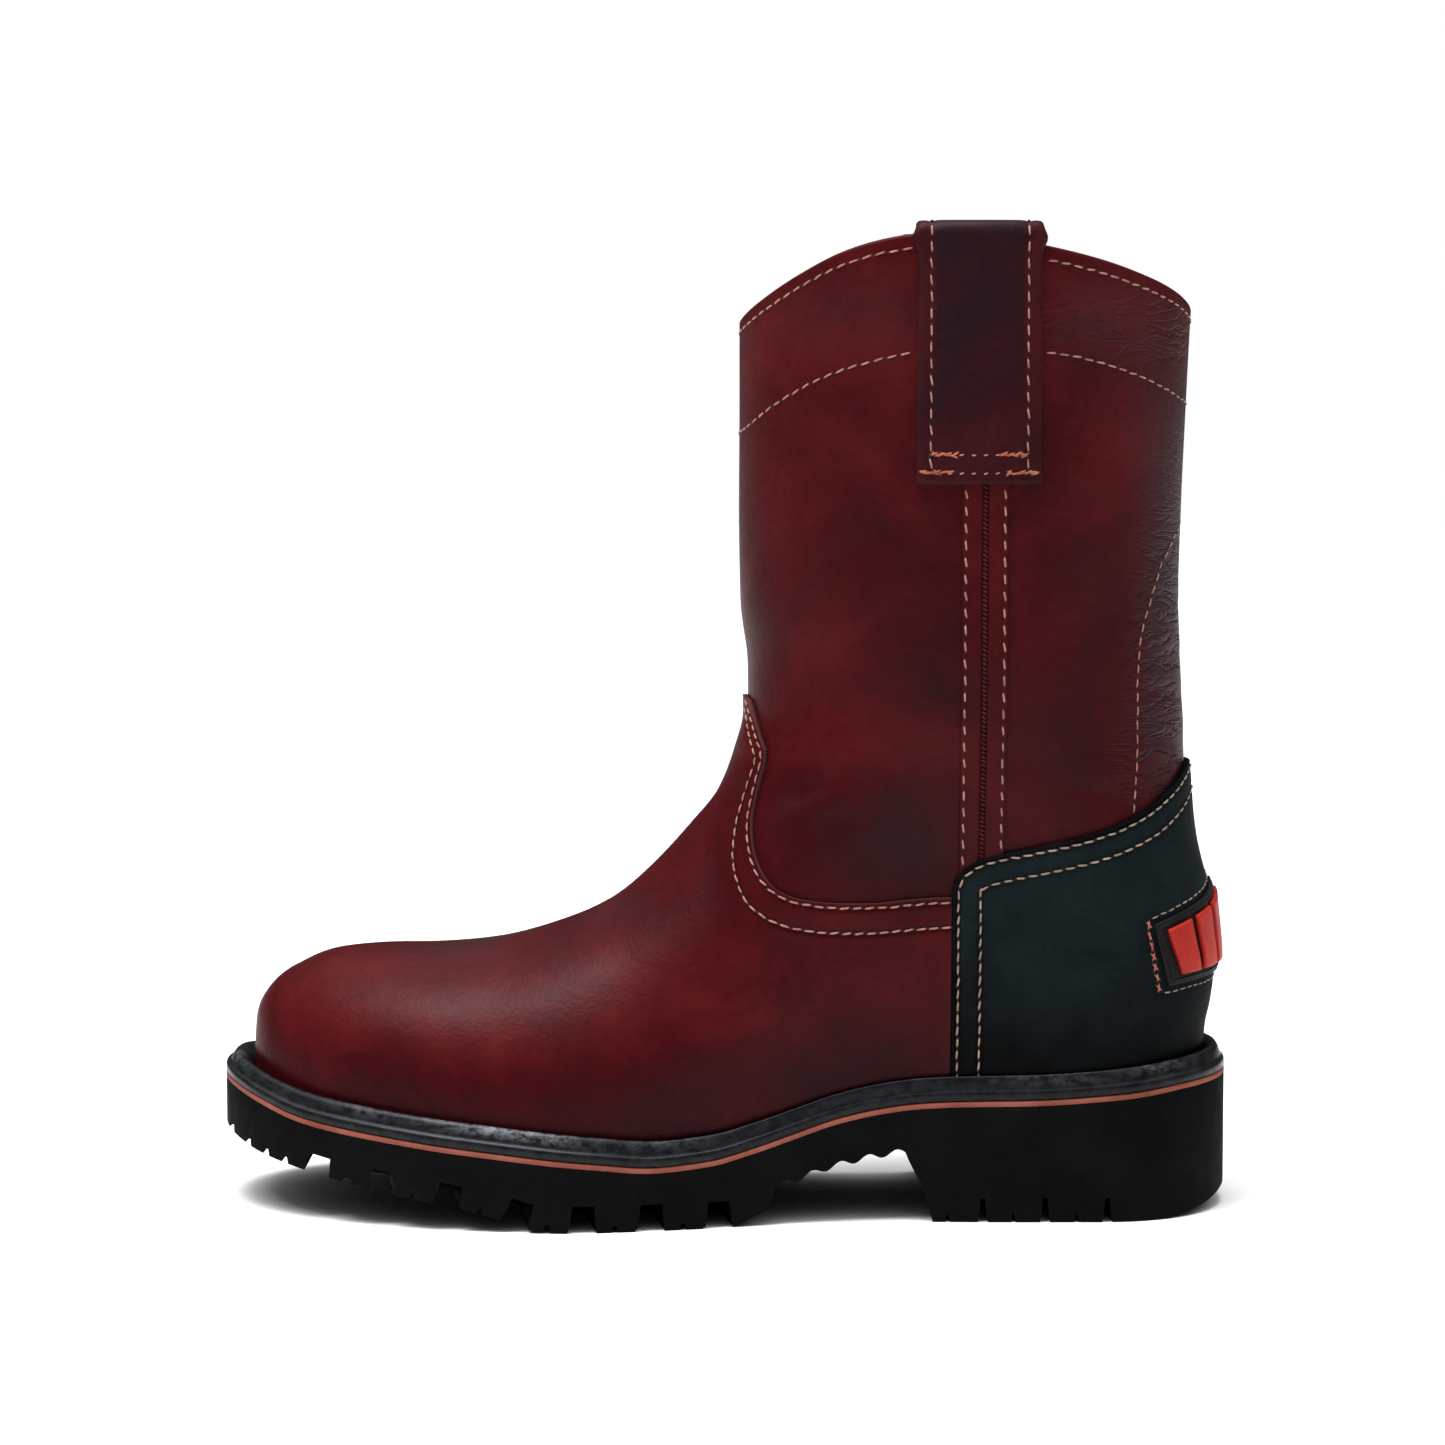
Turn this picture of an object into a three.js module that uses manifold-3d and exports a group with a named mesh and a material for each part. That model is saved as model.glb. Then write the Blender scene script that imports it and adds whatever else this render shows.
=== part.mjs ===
// A left pull-on work boot, empty and standing on its sole. Millimetres.
// The toe points to -X, the outer (lateral) side faces -Y, +Z is up, and the origin
// lies on the floor under the middle of the sole's outline.
// Outsole, midsole and welt follow one sole outline. The upper, its overlays, the seam
// bands, the pull straps and the heel badge all follow one last-shaped surface.
import * as THREE from "three";
import { mergeVertices } from "three/addons/utils/BufferGeometryUtils.js";
import Module from "manifold-3d";

const wasm = await Module();
wasm.setup();

// Sole
const SOLE_LENGTH = 306;
const BALL_WIDTH = 110;
const HEEL_WIDTH = 79;
const SOLE_TOE_ROUND = 80;
const SOLE_HEEL_ROUND = 41;
const TOE_FULLNESS = 2.4;
const HEEL_FULLNESS = 2.1;
const HEEL_RISE = 39.6;
const BALL_RISE = 17;
const TOE_SPRING = 20.3;
const TREAD_RISE = 23.5;
const ARCH_THICKNESS = 12;
const ARCH_RIB_HEIGHT = 0.9;
const ARCH_RIB_PITCH = 8.4;
const HEEL_BREAST = 0.297;
const HEEL_BREAST_SLOPE = 0.027;
const BREAST_HOLLOW = 0.8;
const FOREPART_END = 0.455;
const MIDSOLE_THICKNESS = 1.4;
const WELT_REACH = 8;
const HEEL_REACH = 5.5;
const WELT_HEIGHT = 7;
const WELT_EDGE = 2.4;

// Tread
const LUG_PITCH = 20;
const LUG_GAP = 6.6;
const LUG_MOUTH = 8.6;
const LUG_DEPTH = 8;
const LUG_FADE = 0.5;
const LUG_COUNT = 7;
const LUG_FIRST = -1.2;
const LUG_LENGTH = 25;
const LUG_SHARE = 0.55;
const LUG_YAW = 0.16;
const INNER_GAP = 4.6;
const INNER_MOUTH = 6;
const INNER_DEPTH = 6.4;
const CHANNEL_WIDTH = 4.5;
const CHANNEL_LENGTH = 21;
const TOE_NOTCH_COUNT = 4;
const TOE_NOTCH_PITCH = 6.2;
const TOE_NOTCH_DEPTH = 1.9;
const TOE_NOTCH_ROOT = 0.4;
const TOE_NOTCH_MOUTH = 5.6;
const HEEL_SLIT_COUNT = 3;
const HEEL_SLIT_PITCH = 18.5;
const HEEL_SLIT_FIRST = 77;
const HEEL_SLIT_DEPTH = 7.2;
const HEEL_SLIT_ROOT = 1.3;
const HEEL_SLIT_MOUTH = 3.2;
const HEEL_SLIT_LENGTH = 17;
const HEEL_CHANNEL_DEPTH = 5.6;
const CUTTER_BELOW = 4;

// Upper
const INSTEP_HEIGHT = 120;
const LEG_HEIGHT = 124;
const LEG_DEPTH = 134;
const LEG_WIDTH = 98;
const COLLAR_ARCH = 17.5;
const COLLAR_ROUND = 1.5;
const COLLAR_GROWTH = 1.6;
const SWELL_HEIGHT = 45;
const TOE_SQUARENESS = 2.5;
const INSTEP_SQUARENESS = 2;
const RIDGE_SHIFT = 3;
const RIDGE_STEEPNESS = 4;
const LEG_BLEND_START = 0.35;
const LEG_BLEND_END = 1.2;
const HEEL_REACH_END = 0.35;
const WELT_REACH_START = 0.6;
const INSTEP_ZONE = 0.55;
const TOE_ZONE = 0.9;

// Walls and clearances
const UPPER_WALL = 2;
const VAMP_THICKNESS = 1.3;
const COUNTER_THICKNESS = 1.6;
const INSOLE_THICKNESS = 4;
const GAP = 0.3;
const SEAT_GAP = 0.5;

// Trim
const SEAM_BAND_WIDTH = 13.4;
const SEAM_BAND_THICKNESS = 0.9;
const SEAM_GROOVE_DEPTH = 0.6;
const SEAM_X = 75.9;
const STRAP_WIDTH = 36.5;
const STRAP_THICKNESS = 2.4;
const STRAP_DROP = 71;
const STRAP_RISE = 5;
const STRAP_INSIDE = 44;
const STRAP_X = 74;
const STRAP_CROWN = 1.5;
const BADGE_ARC_TOP = 44;
const BADGE_ARC_BOTTOM = 37;
const BADGE_LOW = 30;
const BADGE_END_HEIGHT = 19;
const BADGE_PEAK_HEIGHT = 27;
const BADGE_THICKNESS = 1;
const BADGE_BORDER = 3;
const BLOCK_COUNT = 7;
const BLOCK_GAP = 2.6;
const BLOCK_THICKNESS = 1.2;
const BADGE_LEVEL = 5;

// Mesh fineness
const AROUND = 26;
const INSOLE_STEPS = 44;
const RIDGE_FINENESS = 12;
const BISECTIONS = 30;
const NUDGE = 0.02;
const BREAST_STEPS = 4;
const STATIONS_APART = 0.3;
const SEAM_STEPS = 7;
const STRAP_LEG_STEPS = 5;
const STRAP_TURN_STEPS = 6;
const STRAP_ACROSS = 4;
const BADGE_STEPS = 14;
const BLOCK_STEPS = 2;
const BADGE_ROWS = 3;

// Sole outline from heel back (0) to toe tip (1). half = heel share of the heel's half
// width + ball share of the ball's half width, swing = shift to the inner side, and
// swell = how much wider the upper is than its foot line.
const PLAN = [
  { along: 0.0, heel: 1.0, ball: 0.0, swing: 0.0, swell: 0.08 },
  { along: 0.16, heel: 1.0, ball: 0.0, swing: -0.002, swell: 0.1 },
  { along: 0.3, heel: 0.957, ball: 0.0, swing: -0.012, swell: 0.17 },
  { along: 0.4, heel: 0.5, ball: 0.332, swing: -0.03, swell: 0.23 },
  { along: 0.5, heel: 0.15, ball: 0.68, swing: -0.036, swell: 0.19 },
  { along: 0.6, heel: 0.0, ball: 0.927, swing: -0.025, swell: 0.11 },
  { along: 0.68, heel: 0.0, ball: 0.996, swing: -0.003, swell: 0.07 },
  { along: 0.76, heel: 0.0, ball: 0.991, swing: 0.022, swell: 0.06 },
  { along: 0.85, heel: 0.0, ball: 0.936, swing: 0.045, swell: 0.06 },
  { along: 1.0, heel: 0.0, ball: 0.84, swing: 0.07, swell: 0.06 },
];

// Height of the outsole's top face: share of the heel lift, then of the toe spring.
const LIFT = [
  { along: 0.0, heel: 1.0, toe: 0.0 },
  { along: 0.045, heel: 0.965, toe: 0.0 },
  { along: 0.11, heel: 0.868, toe: 0.0 },
  { along: 0.2, heel: 0.785, toe: 0.0 },
  { along: 0.27, heel: 0.768, toe: 0.0 },
  { along: 0.31, heel: 0.74, toe: 0.0 },
  { along: 0.35, heel: 0.67, toe: 0.0 },
  { along: 0.39, heel: 0.555, toe: 0.0 },
  { along: 0.43, heel: 0.38, toe: 0.0 },
  { along: 0.47, heel: 0.205, toe: 0.0 },
  { along: 0.515, heel: 0.055, toe: 0.0 },
  { along: 0.57, heel: 0.0, toe: 0.0 },
  { along: 0.62, heel: 0.0, toe: 0.07 },
  { along: 0.7, heel: 0.0, toe: 0.19 },
  { along: 0.8, heel: 0.0, toe: 0.352 },
  { along: 0.87, heel: 0.0, toe: 0.475 },
  { along: 0.915, heel: 0.0, toe: 0.585 },
  { along: 0.955, heel: 0.0, toe: 0.77 },
  { along: 0.98, heel: 0.0, toe: 0.9 },
  { along: 1.0, heel: 0.0, toe: 1.0 },
];

// Height of the tread above the floor, without the arch, as shares of the tread's rise.
const TREAD = [
  { along: 0.0, rise: 0.27 },
  { along: 0.015, rise: 0.18 },
  { along: 0.03, rise: 0.11 },
  { along: 0.055, rise: 0.045 },
  { along: 0.085, rise: 0.0 },
  { along: 0.45, rise: 0.26 },
  { along: 0.47, rise: 0.13 },
  { along: 0.49, rise: 0.02 },
  { along: 0.505, rise: 0.0 },
  { along: 0.635, rise: 0.0 },
  { along: 0.69, rise: 0.06 },
  { along: 0.72, rise: 0.18 },
  { along: 0.75, rise: 0.275 },
  { along: 0.82, rise: 0.425 },
  { along: 0.915, rise: 0.65 },
  { along: 0.96, rise: 0.79 },
  { along: 1.0, rise: 1.0 },
];

// Sections of the foot: front and back are shares of the sole's length from its middle,
// rise and backRise are shares of the instep height above the sole.
const FOOT = [
  { front: -0.4666, rise: 0, back: 0.4729, backRise: 0 },
  { front: -0.4666, rise: 0.085, back: 0.473, backRise: 0.05 },
  { front: -0.4647, rise: 0.165, back: 0.4745, backRise: 0.11 },
  { front: -0.4487, rise: 0.25, back: 0.4793, backRise: 0.17 },
  { front: -0.425, rise: 0.31, back: 0.482, backRise: 0.23 },
  { front: -0.3933, rise: 0.36, back: 0.482, backRise: 0.29 },
  { front: -0.3456, rise: 0.391, back: 0.48, backRise: 0.35 },
  { front: -0.285, rise: 0.413, back: 0.4775, backRise: 0.41 },
  { front: -0.225, rise: 0.447, back: 0.475, backRise: 0.47 },
  { front: -0.166, rise: 0.505, back: 0.469, backRise: 0.53 },
  { front: -0.1115, rise: 0.58, back: 0.464, backRise: 0.59 },
  { front: -0.069, rise: 0.675, back: 0.4608, backRise: 0.655 },
  { front: -0.0295, rise: 0.775, back: 0.4588, backRise: 0.725 },
  { front: 0.0027, rise: 0.865, back: 0.457, backRise: 0.8 },
  { front: 0.019, rise: 0.955, back: 0.4562, backRise: 0.88 },
  { front: 0.029, rise: 1.05, back: 0.4543, backRise: 0.96 },
];

// Sections of the leg: climb is a share of the leg's height above the instep, back is a
// share of the sole's length, depth is the share of the leg's depth in front of it.
const LEG = [
  { climb: 0.167, back: 0.4528, depth: 0.98 },
  { climb: 0.333, back: 0.4503, depth: 0.991 },
  { climb: 0.55, back: 0.452, depth: 0.998 },
  { climb: 0.775, back: 0.4555, depth: 1.005 },
  { climb: 1, back: 0.4597, depth: 1.0145 },
];
const LEG_BACK_RISE = 0.872;

// Edge of the vamp from its tongue's peak to the counter, and edge of the counter from
// the welt to the back: x is a share of the sole's length, rise of the instep height.
const VAMP_EDGE = [
  { x: 0.0268, rise: 1.092 },
  { x: 0.0422, rise: 0.955 },
  { x: 0.0415, rise: 0.918 },
  { x: 0.0333, rise: 0.846 },
  { x: 0.0297, rise: 0.802 },
  { x: 0.0294, rise: 0.759 },
  { x: 0.0314, rise: 0.716 },
  { x: 0.0376, rise: 0.669 },
  { x: 0.0477, rise: 0.627 },
  { x: 0.0634, rise: 0.591 },
  { x: 0.084, rise: 0.562 },
  { x: 0.1078, rise: 0.537 },
  { x: 0.1493, rise: 0.513 },
  { x: 0.19, rise: 0.508 },
];
const COUNTER_EDGE = [
  { x: 0.2203, rise: -0.2 },
  { x: 0.2203, rise: 0.531 },
  { x: 0.2275, rise: 0.57 },
  { x: 0.2438, rise: 0.598 },
  { x: 0.2696, rise: 0.615 },
  { x: 0.3026, rise: 0.629 },
  { x: 0.3634, rise: 0.655 },
  { x: 0.4059, rise: 0.69 },
  { x: 0.4386, rise: 0.741 },
  { x: 0.4614, rise: 0.795 },
  { x: 0.52, rise: 0.88 },
];

const mix = (a, b, share) => a + (b - a) * share;
const clamp = (value) => Math.min(1, Math.max(0, value));
const smooth = (from, to, value) => {
  const share = clamp((value - from) / (to - from));
  return share * share * (3 - 2 * share);
};

// A smooth curve through the points, which doesn't overshoot them.
function curve(keys, values) {
  const steps = keys.slice(1).map((key, i) => (values[i + 1] - values[i]) / (key - keys[i]));
  const slopes = keys.map((_, i) => {
    if (i === 0) return steps[0];
    if (i === steps.length) return steps[i - 1];
    const product = steps[i - 1] * steps[i];
    return product <= 0 ? 0 : (2 * product) / (steps[i - 1] + steps[i]);
  });
  return (at) => {
    const last = keys.length - 1;
    const inside = Math.min(keys[last], Math.max(keys[0], at));
    let i = 0;
    while (i < last - 1 && inside > keys[i + 1]) i += 1;
    const width = keys[i + 1] - keys[i];
    const s = (inside - keys[i]) / width;
    const s2 = s * s;
    const s3 = s2 * s;
    return (
      (2 * s3 - 3 * s2 + 1) * values[i] +
      (s3 - 2 * s2 + s) * width * slopes[i] +
      (3 * s2 - 2 * s3) * values[i + 1] +
      (s3 - s2) * width * slopes[i + 1]
    );
  };
}
const column = (rows, key, name) => curve(rows.map((r) => r[key]), rows.map((r) => r[name]));

// Sole outline and heights
const heelShare = column(PLAN, "along", "heel");
const ballShare = column(PLAN, "along", "ball");
const swingShare = column(PLAN, "along", "swing");
const swellShare = column(PLAN, "along", "swell");
const heelLift = column(LIFT, "along", "heel");
const toeLift = column(LIFT, "along", "toe");
const alongOf = (x) => 0.5 - x / SOLE_LENGTH;
const baseHalf = (along) => (heelShare(along) * HEEL_WIDTH + ballShare(along) * BALL_WIDTH) / 2;
const endRound = (distance, reach, power) =>
  distance >= reach ? 1 : Math.pow(1 - Math.pow(1 - clamp(distance / reach), power), 1 / power);

function soleHalf(x) {
  return (
    baseHalf(alongOf(x)) *
    endRound(x + SOLE_LENGTH / 2, SOLE_TOE_ROUND, TOE_FULLNESS) *
    endRound(SOLE_LENGTH / 2 - x, SOLE_HEEL_ROUND, HEEL_FULLNESS)
  );
}

// The outline's middle in Y, so that the origin lies under the middle of the sole.
function middleOfOutline() {
  let low = 0;
  let high = 0;
  for (let x = -SOLE_LENGTH / 2; x <= SOLE_LENGTH / 2; x += 1) {
    const middle = swingShare(alongOf(x)) * BALL_WIDTH;
    low = Math.min(low, middle - soleHalf(x));
    high = Math.max(high, middle + soleHalf(x));
  }
  return (low + high) / 2;
}
const MIDDLE_Y = middleOfOutline();
const swing = (x) => swingShare(alongOf(x)) * BALL_WIDTH - MIDDLE_Y;
const outsoleTop = (x) => {
  const along = alongOf(x);
  return BALL_RISE + heelLift(along) * (HEEL_RISE - BALL_RISE) + toeLift(along) * TOE_SPRING;
};
const seat = (x) => outsoleTop(x) + MIDSOLE_THICKNESS + GAP + SEAT_GAP;

// Underside: bevelled heel, breast, ribbed arch, flat forepart and a rocker to the toe
const HEEL_TREAD_ROWS = 5;
const heelTread = column(TREAD.slice(0, HEEL_TREAD_ROWS), "along", "rise");
const foreTread = column(TREAD.slice(HEEL_TREAD_ROWS), "along", "rise");
function sole(along) {
  return TREAD_RISE * (along > HEEL_BREAST ? foreTread(along) : heelTread(along));
}
function tread(x) {
  const along = alongOf(x);
  const ribs = ARCH_RIB_HEIGHT * Math.cos((2 * Math.PI * (x - 1)) / ARCH_RIB_PITCH);
  const arch = outsoleTop(x) - ARCH_THICKNESS + ribs;
  if (along >= FOREPART_END || along <= HEEL_BREAST) return sole(along);
  return arch * Math.min(1, (along - HEEL_BREAST) / HEEL_BREAST_SLOPE) ** BREAST_HOLLOW;
}

// The last: each section runs from a front point to a back point
const lastFoot = FOOT[FOOT.length - 1];
const legFront = (row) => row.back * SOLE_LENGTH - row.depth * LEG_DEPTH;
const throatStep = legFront(LEG[0]) - lastFoot.front * SOLE_LENGTH;
const SECTIONS = [
  ...FOOT.map((row) => {
    const leg = smooth(LEG_BLEND_START, LEG_BLEND_END, row.rise);
    return {
      leg,
      front: row.front * SOLE_LENGTH + leg * throatStep,
      up: row.rise * INSTEP_HEIGHT,
      back: row.back * SOLE_LENGTH,
      backUp: row.backRise * INSTEP_HEIGHT,
      climb: 0,
    };
  }),
  ...LEG.map((row) => ({
    leg: 1,
    front: legFront(row),
    up: INSTEP_HEIGHT + row.climb * LEG_HEIGHT,
    back: row.back * SOLE_LENGTH,
    backUp: LEG_BACK_RISE * INSTEP_HEIGHT + row.climb * LEG_HEIGHT,
    climb: row.climb,
  })),
];
const TOP = SECTIONS.length - 1;
const order = SECTIONS.map((_, i) => i);
const sectionCurve = (name) => curve(order, SECTIONS.map((s) => s[name]));
const section = {};
for (const name of ["leg", "front", "up", "back", "backUp", "climb"]) {
  section[name] = sectionCurve(name);
}

// Height of the ridge from toe to throat, over x
const ridge = [];
for (let i = RIDGE_FINENESS; i <= (FOOT.length - 1) * RIDGE_FINENESS; i += 1) {
  const level = i / RIDGE_FINENESS;
  ridge.push({ x: section.front(level), up: section.up(level) });
}
const throat = ridge[ridge.length - 1];
ridge.push({ x: throat.x + LEG_DEPTH, up: throat.up + LEG_DEPTH * RIDGE_STEEPNESS });
const ridgeAt = column(ridge, "x", "up");

// Half width and middle of the last at x, for a section and a height above the sole
function halfAndMiddle(level, x, up) {
  const along = alongOf(x);
  const leg = section.leg(level);
  const front = section.front(level);
  const back = section.back(level);
  const reach = mix(HEEL_REACH, WELT_REACH, smooth(HEEL_REACH_END, WELT_REACH_START, along));
  const height = clamp(up / ridgeAt(x));
  const toe = smooth(INSTEP_ZONE, TOE_ZONE, along);
  const squareness = mix(INSTEP_SQUARENESS, TOE_SQUARENESS, toe);
  const arch = Math.pow(1 - Math.pow(height, squareness), 1 / squareness);
  const swell = 1 + swellShare(along) * Math.sin((Math.PI / 2) * clamp(up / SWELL_HEIGHT));
  const foot =
    (baseHalf(along) - reach) *
    endRound(x - section.front(0), SOLE_TOE_ROUND - WELT_REACH, TOE_FULLNESS) *
    endRound(back - x, SOLE_HEEL_ROUND - HEEL_REACH, HEEL_FULLNESS) *
    arch *
    swell;
  const middle = (front + back) / 2;
  const radius = (back - front) / 2;
  const oval = (LEG_WIDTH / 2) * Math.sqrt(Math.max(0, 1 - ((x - middle) / radius) ** 2));
  return {
    half: mix(foot, oval, leg),
    middle: (swing(x) + RIDGE_SHIFT * height * height) * (1 - leg),
  };
}

// A point of the last: level runs over the sections, turn from front (0) to back (pi)
function lastPoint(level, turn, side) {
  const share = (1 - Math.cos(turn)) / 2;
  const x = mix(section.front(level), section.back(level), share);
  const up = mix(section.up(level), section.backUp(level), share);
  const arch = COLLAR_ARCH * Math.abs(Math.sin(turn)) ** COLLAR_ROUND;
  const grown = arch * section.climb(level) ** COLLAR_GROWTH;
  const { half, middle } = halfAndMiddle(level, x, up);
  return new THREE.Vector3(x, middle + side * half, seat(x) + up + grown);
}

// The same point moved out from the surface. The lowest and highest rings stay level.
function surface(level, turn, side, offset) {
  const point = lastPoint(level, turn, side);
  if (offset === 0) return point;
  const low = Math.max(0, level - NUDGE);
  const high = Math.min(TOP, level + NUDGE);
  const upward = lastPoint(high, turn, side).sub(lastPoint(low, turn, side));
  const onward = lastPoint(level, turn + NUDGE, side).sub(lastPoint(level, turn - NUDGE, side));
  const normal = onward.cross(upward).multiplyScalar(-side);
  if (level === 0 || level === TOP) normal.z = 0;
  normal.normalize().multiplyScalar(offset);
  point.add(normal);
  if (level === 0) point.z = seat(point.x);
  return point;
}

// Turn and level of the surface at a place in the side view
function levelAt(x, z) {
  let low = 0;
  let high = TOP;
  for (let i = 0; i < BISECTIONS; i += 1) {
    const level = (low + high) / 2;
    if (lastPoint(level, turnAt(level, x), 1).z < z) low = level;
    else high = level;
  }
  return (low + high) / 2;
}
function turnAt(level, x) {
  const share = clamp((x - section.front(level)) / (section.back(level) - section.front(level)));
  return Math.acos(1 - 2 * share);
}
function sidePoint(x, z, side, offset) {
  const level = levelAt(x, z);
  return surface(level, turnAt(level, x), side, offset);
}

// Closed meshes from rings of points, each ring in matching pairs (first with last).
// In a closed one the second half of the rings comes back, so its diagonals are turned
// round: two walls that lie against each other then have the same facets.
function loft(rings, { closed = false } = {}) {
  const size = rings[0].length;
  const triangles = [];
  const quad = (a, b, c, d) => triangles.push(a, b, c, a, c, d);
  const count = closed ? rings.length : rings.length - 1;
  for (let r = 0; r < count; r += 1) {
    const next = (r + 1) % rings.length;
    const back = closed && r >= rings.length / 2;
    for (let i = 0; i < size; i += 1) {
      const j = (i + 1) % size;
      const corners = [r * size + i, r * size + j, next * size + j, next * size + i];
      if (back) corners.unshift(corners.pop());
      quad(...corners);
    }
  }
  if (!closed) {
    const last = (rings.length - 1) * size;
    for (let i = 0; i < size / 2 - 1; i += 1) {
      quad(i, size - 1 - i, size - 2 - i, i + 1);
      quad(last + i, last + i + 1, last + size - 2 - i, last + size - 1 - i);
    }
  }
  const geometry = new THREE.BufferGeometry();
  const flat = rings.flat().flatMap((p) => [p.x, p.y, p.z]);
  geometry.setAttribute("position", new THREE.Float32BufferAttribute(flat, 3));
  geometry.setIndex(volumeOf(flat, triangles) < 0 ? triangles.reverse() : triangles);
  return geometry;
}
function volumeOf(flat, triangles) {
  const corner = (i) => new THREE.Vector3().fromArray(flat, i * 3);
  let volume = 0;
  for (let i = 0; i < triangles.length; i += 3) {
    const [a, b, c] = [0, 1, 2].map((k) => corner(triangles[i + k]));
    volume += a.dot(b.cross(c)) / 6;
  }
  return volume;
}

function toSolid(geometry) {
  let shape = geometry.clone();
  shape.deleteAttribute("normal");
  shape.deleteAttribute("uv");
  shape = mergeVertices(shape, 1e-4);
  return new wasm.Manifold(
    new wasm.Mesh({
      numProp: 3,
      vertProperties: new Float32Array(shape.attributes.position.array),
      triVerts: new Uint32Array(shape.index.array),
    }),
  );
}
function toGeometry(solid) {
  const mesh = solid.getMesh();
  const geometry = new THREE.BufferGeometry();
  geometry.setAttribute("position", new THREE.BufferAttribute(mesh.vertProperties, 3));
  geometry.setIndex(new THREE.BufferAttribute(mesh.triVerts, 1));
  return geometry;
}

// Rings of the last
const turnsOf = (count) => Array.from({ length: count }, (_, i) => ((i + 0.5) * Math.PI) / count);
const turns = turnsOf(AROUND);
function ring(level, offset, places = turns) {
  const outer = places.map((turn) => surface(level, turn, -1, offset));
  const inner = places.map((turn) => surface(level, turn, 1, offset));
  return [...outer, ...inner.reverse()];
}
function shell(inside, outside) {
  const outer = order.map((level) => ring(level, outside));
  const inner = order.map((level) => ring(level, inside)).reverse();
  return loft([...outer, ...inner], { closed: true });
}

// A prism through both sides of the boot, drawn in the side view
const PRISM_WIDTH = 2 * BALL_WIDTH;
function prism(points) {
  const outline = new THREE.Shape(points.map(([x, z]) => new THREE.Vector2(x, z)));
  const geometry = new THREE.ExtrudeGeometry(outline, { depth: PRISM_WIDTH, bevelEnabled: false });
  geometry.rotateX(Math.PI / 2).translate(0, PRISM_WIDTH / 2, 0);
  return toSolid(geometry);
}
const edgePoint = ({ x, rise }) => {
  const place = x * SOLE_LENGTH;
  return [place, seat(place) + rise * INSTEP_HEIGHT];
};
const BEYOND = SOLE_LENGTH;

function makeVamp() {
  const edge = VAMP_EDGE.map(edgePoint);
  const end = COUNTER_EDGE[0].x * SOLE_LENGTH - GAP;
  const corners = [[end, edge[edge.length - 1][1]], [end, -BEYOND], [-BEYOND, -BEYOND]];
  const region = prism([[-BEYOND, edge[0][1]], ...edge, ...corners]);
  return toGeometry(toSolid(shell(GAP, GAP + VAMP_THICKNESS)).intersect(region));
}

function makeCounter() {
  const edge = COUNTER_EDGE.map(edgePoint);
  const lowest = edge[0][0];
  const region = prism([...edge, [BEYOND, -BEYOND], [lowest, -BEYOND]]);
  return toGeometry(toSolid(shell(GAP, GAP + COUNTER_THICKNESS)).intersect(region));
}
const COUNTER_OUTSIDE = GAP + COUNTER_THICKNESS;

// Sole pieces
function soleRing(heightAt, stations) {
  const outer = stations.map((x) => new THREE.Vector3(x, swing(x) - soleHalf(x), heightAt(x)));
  const inner = stations.map((x) => new THREE.Vector3(x, swing(x) + soleHalf(x), heightAt(x)));
  return [...outer, ...inner.reverse()];
}
const evenStations = turns.map((turn) => (-Math.cos(turn) * SOLE_LENGTH) / 2);

// Where the outsole is cut across: close together at the arch's ribs and at its two ends
function outsoleStations() {
  const xOf = (along) => (0.5 - along) * SOLE_LENGTH;
  const forepart = xOf(FOREPART_END);
  const breastTop = xOf(HEEL_BREAST + HEEL_BREAST_SLOPE);
  const breastFoot = xOf(HEEL_BREAST);
  const beside = 2 * STATIONS_APART;
  const stations = [...evenStations, forepart - beside, forepart, breastTop, breastTop + beside];
  for (let i = 1; i <= BREAST_STEPS; i += 1) {
    stations.push(mix(breastTop, breastFoot, i / BREAST_STEPS));
  }
  for (let x = forepart; x < breastTop; x += ARCH_RIB_PITCH / 4) stations.push(x);
  stations.sort((a, b) => a - b);
  return stations.filter((x, i) => i === 0 || x - stations[i - 1] > STATIONS_APART);
}

// A cutter with its mouth down: a wedge section along X, run along Y, then placed
function wedge({ root, mouth, depth, length, x, y, yaw = 0 }) {
  const outline = new THREE.Shape([
    new THREE.Vector2(-mouth / 2, -CUTTER_BELOW),
    new THREE.Vector2(mouth / 2, -CUTTER_BELOW),
    new THREE.Vector2(root / 2, depth),
    new THREE.Vector2(-root / 2, depth),
  ]);
  const geometry = new THREE.ExtrudeGeometry(outline, { depth: length, bevelEnabled: false });
  geometry.rotateX(Math.PI / 2).translate(0, length / 2, 0);
  const slope = Math.atan((sole(alongOf(x + 1)) - sole(alongOf(x - 1))) / 2);
  geometry.rotateY(-slope).rotateZ(yaw).translate(x, y, sole(alongOf(x)));
  return toSolid(geometry);
}

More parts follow.
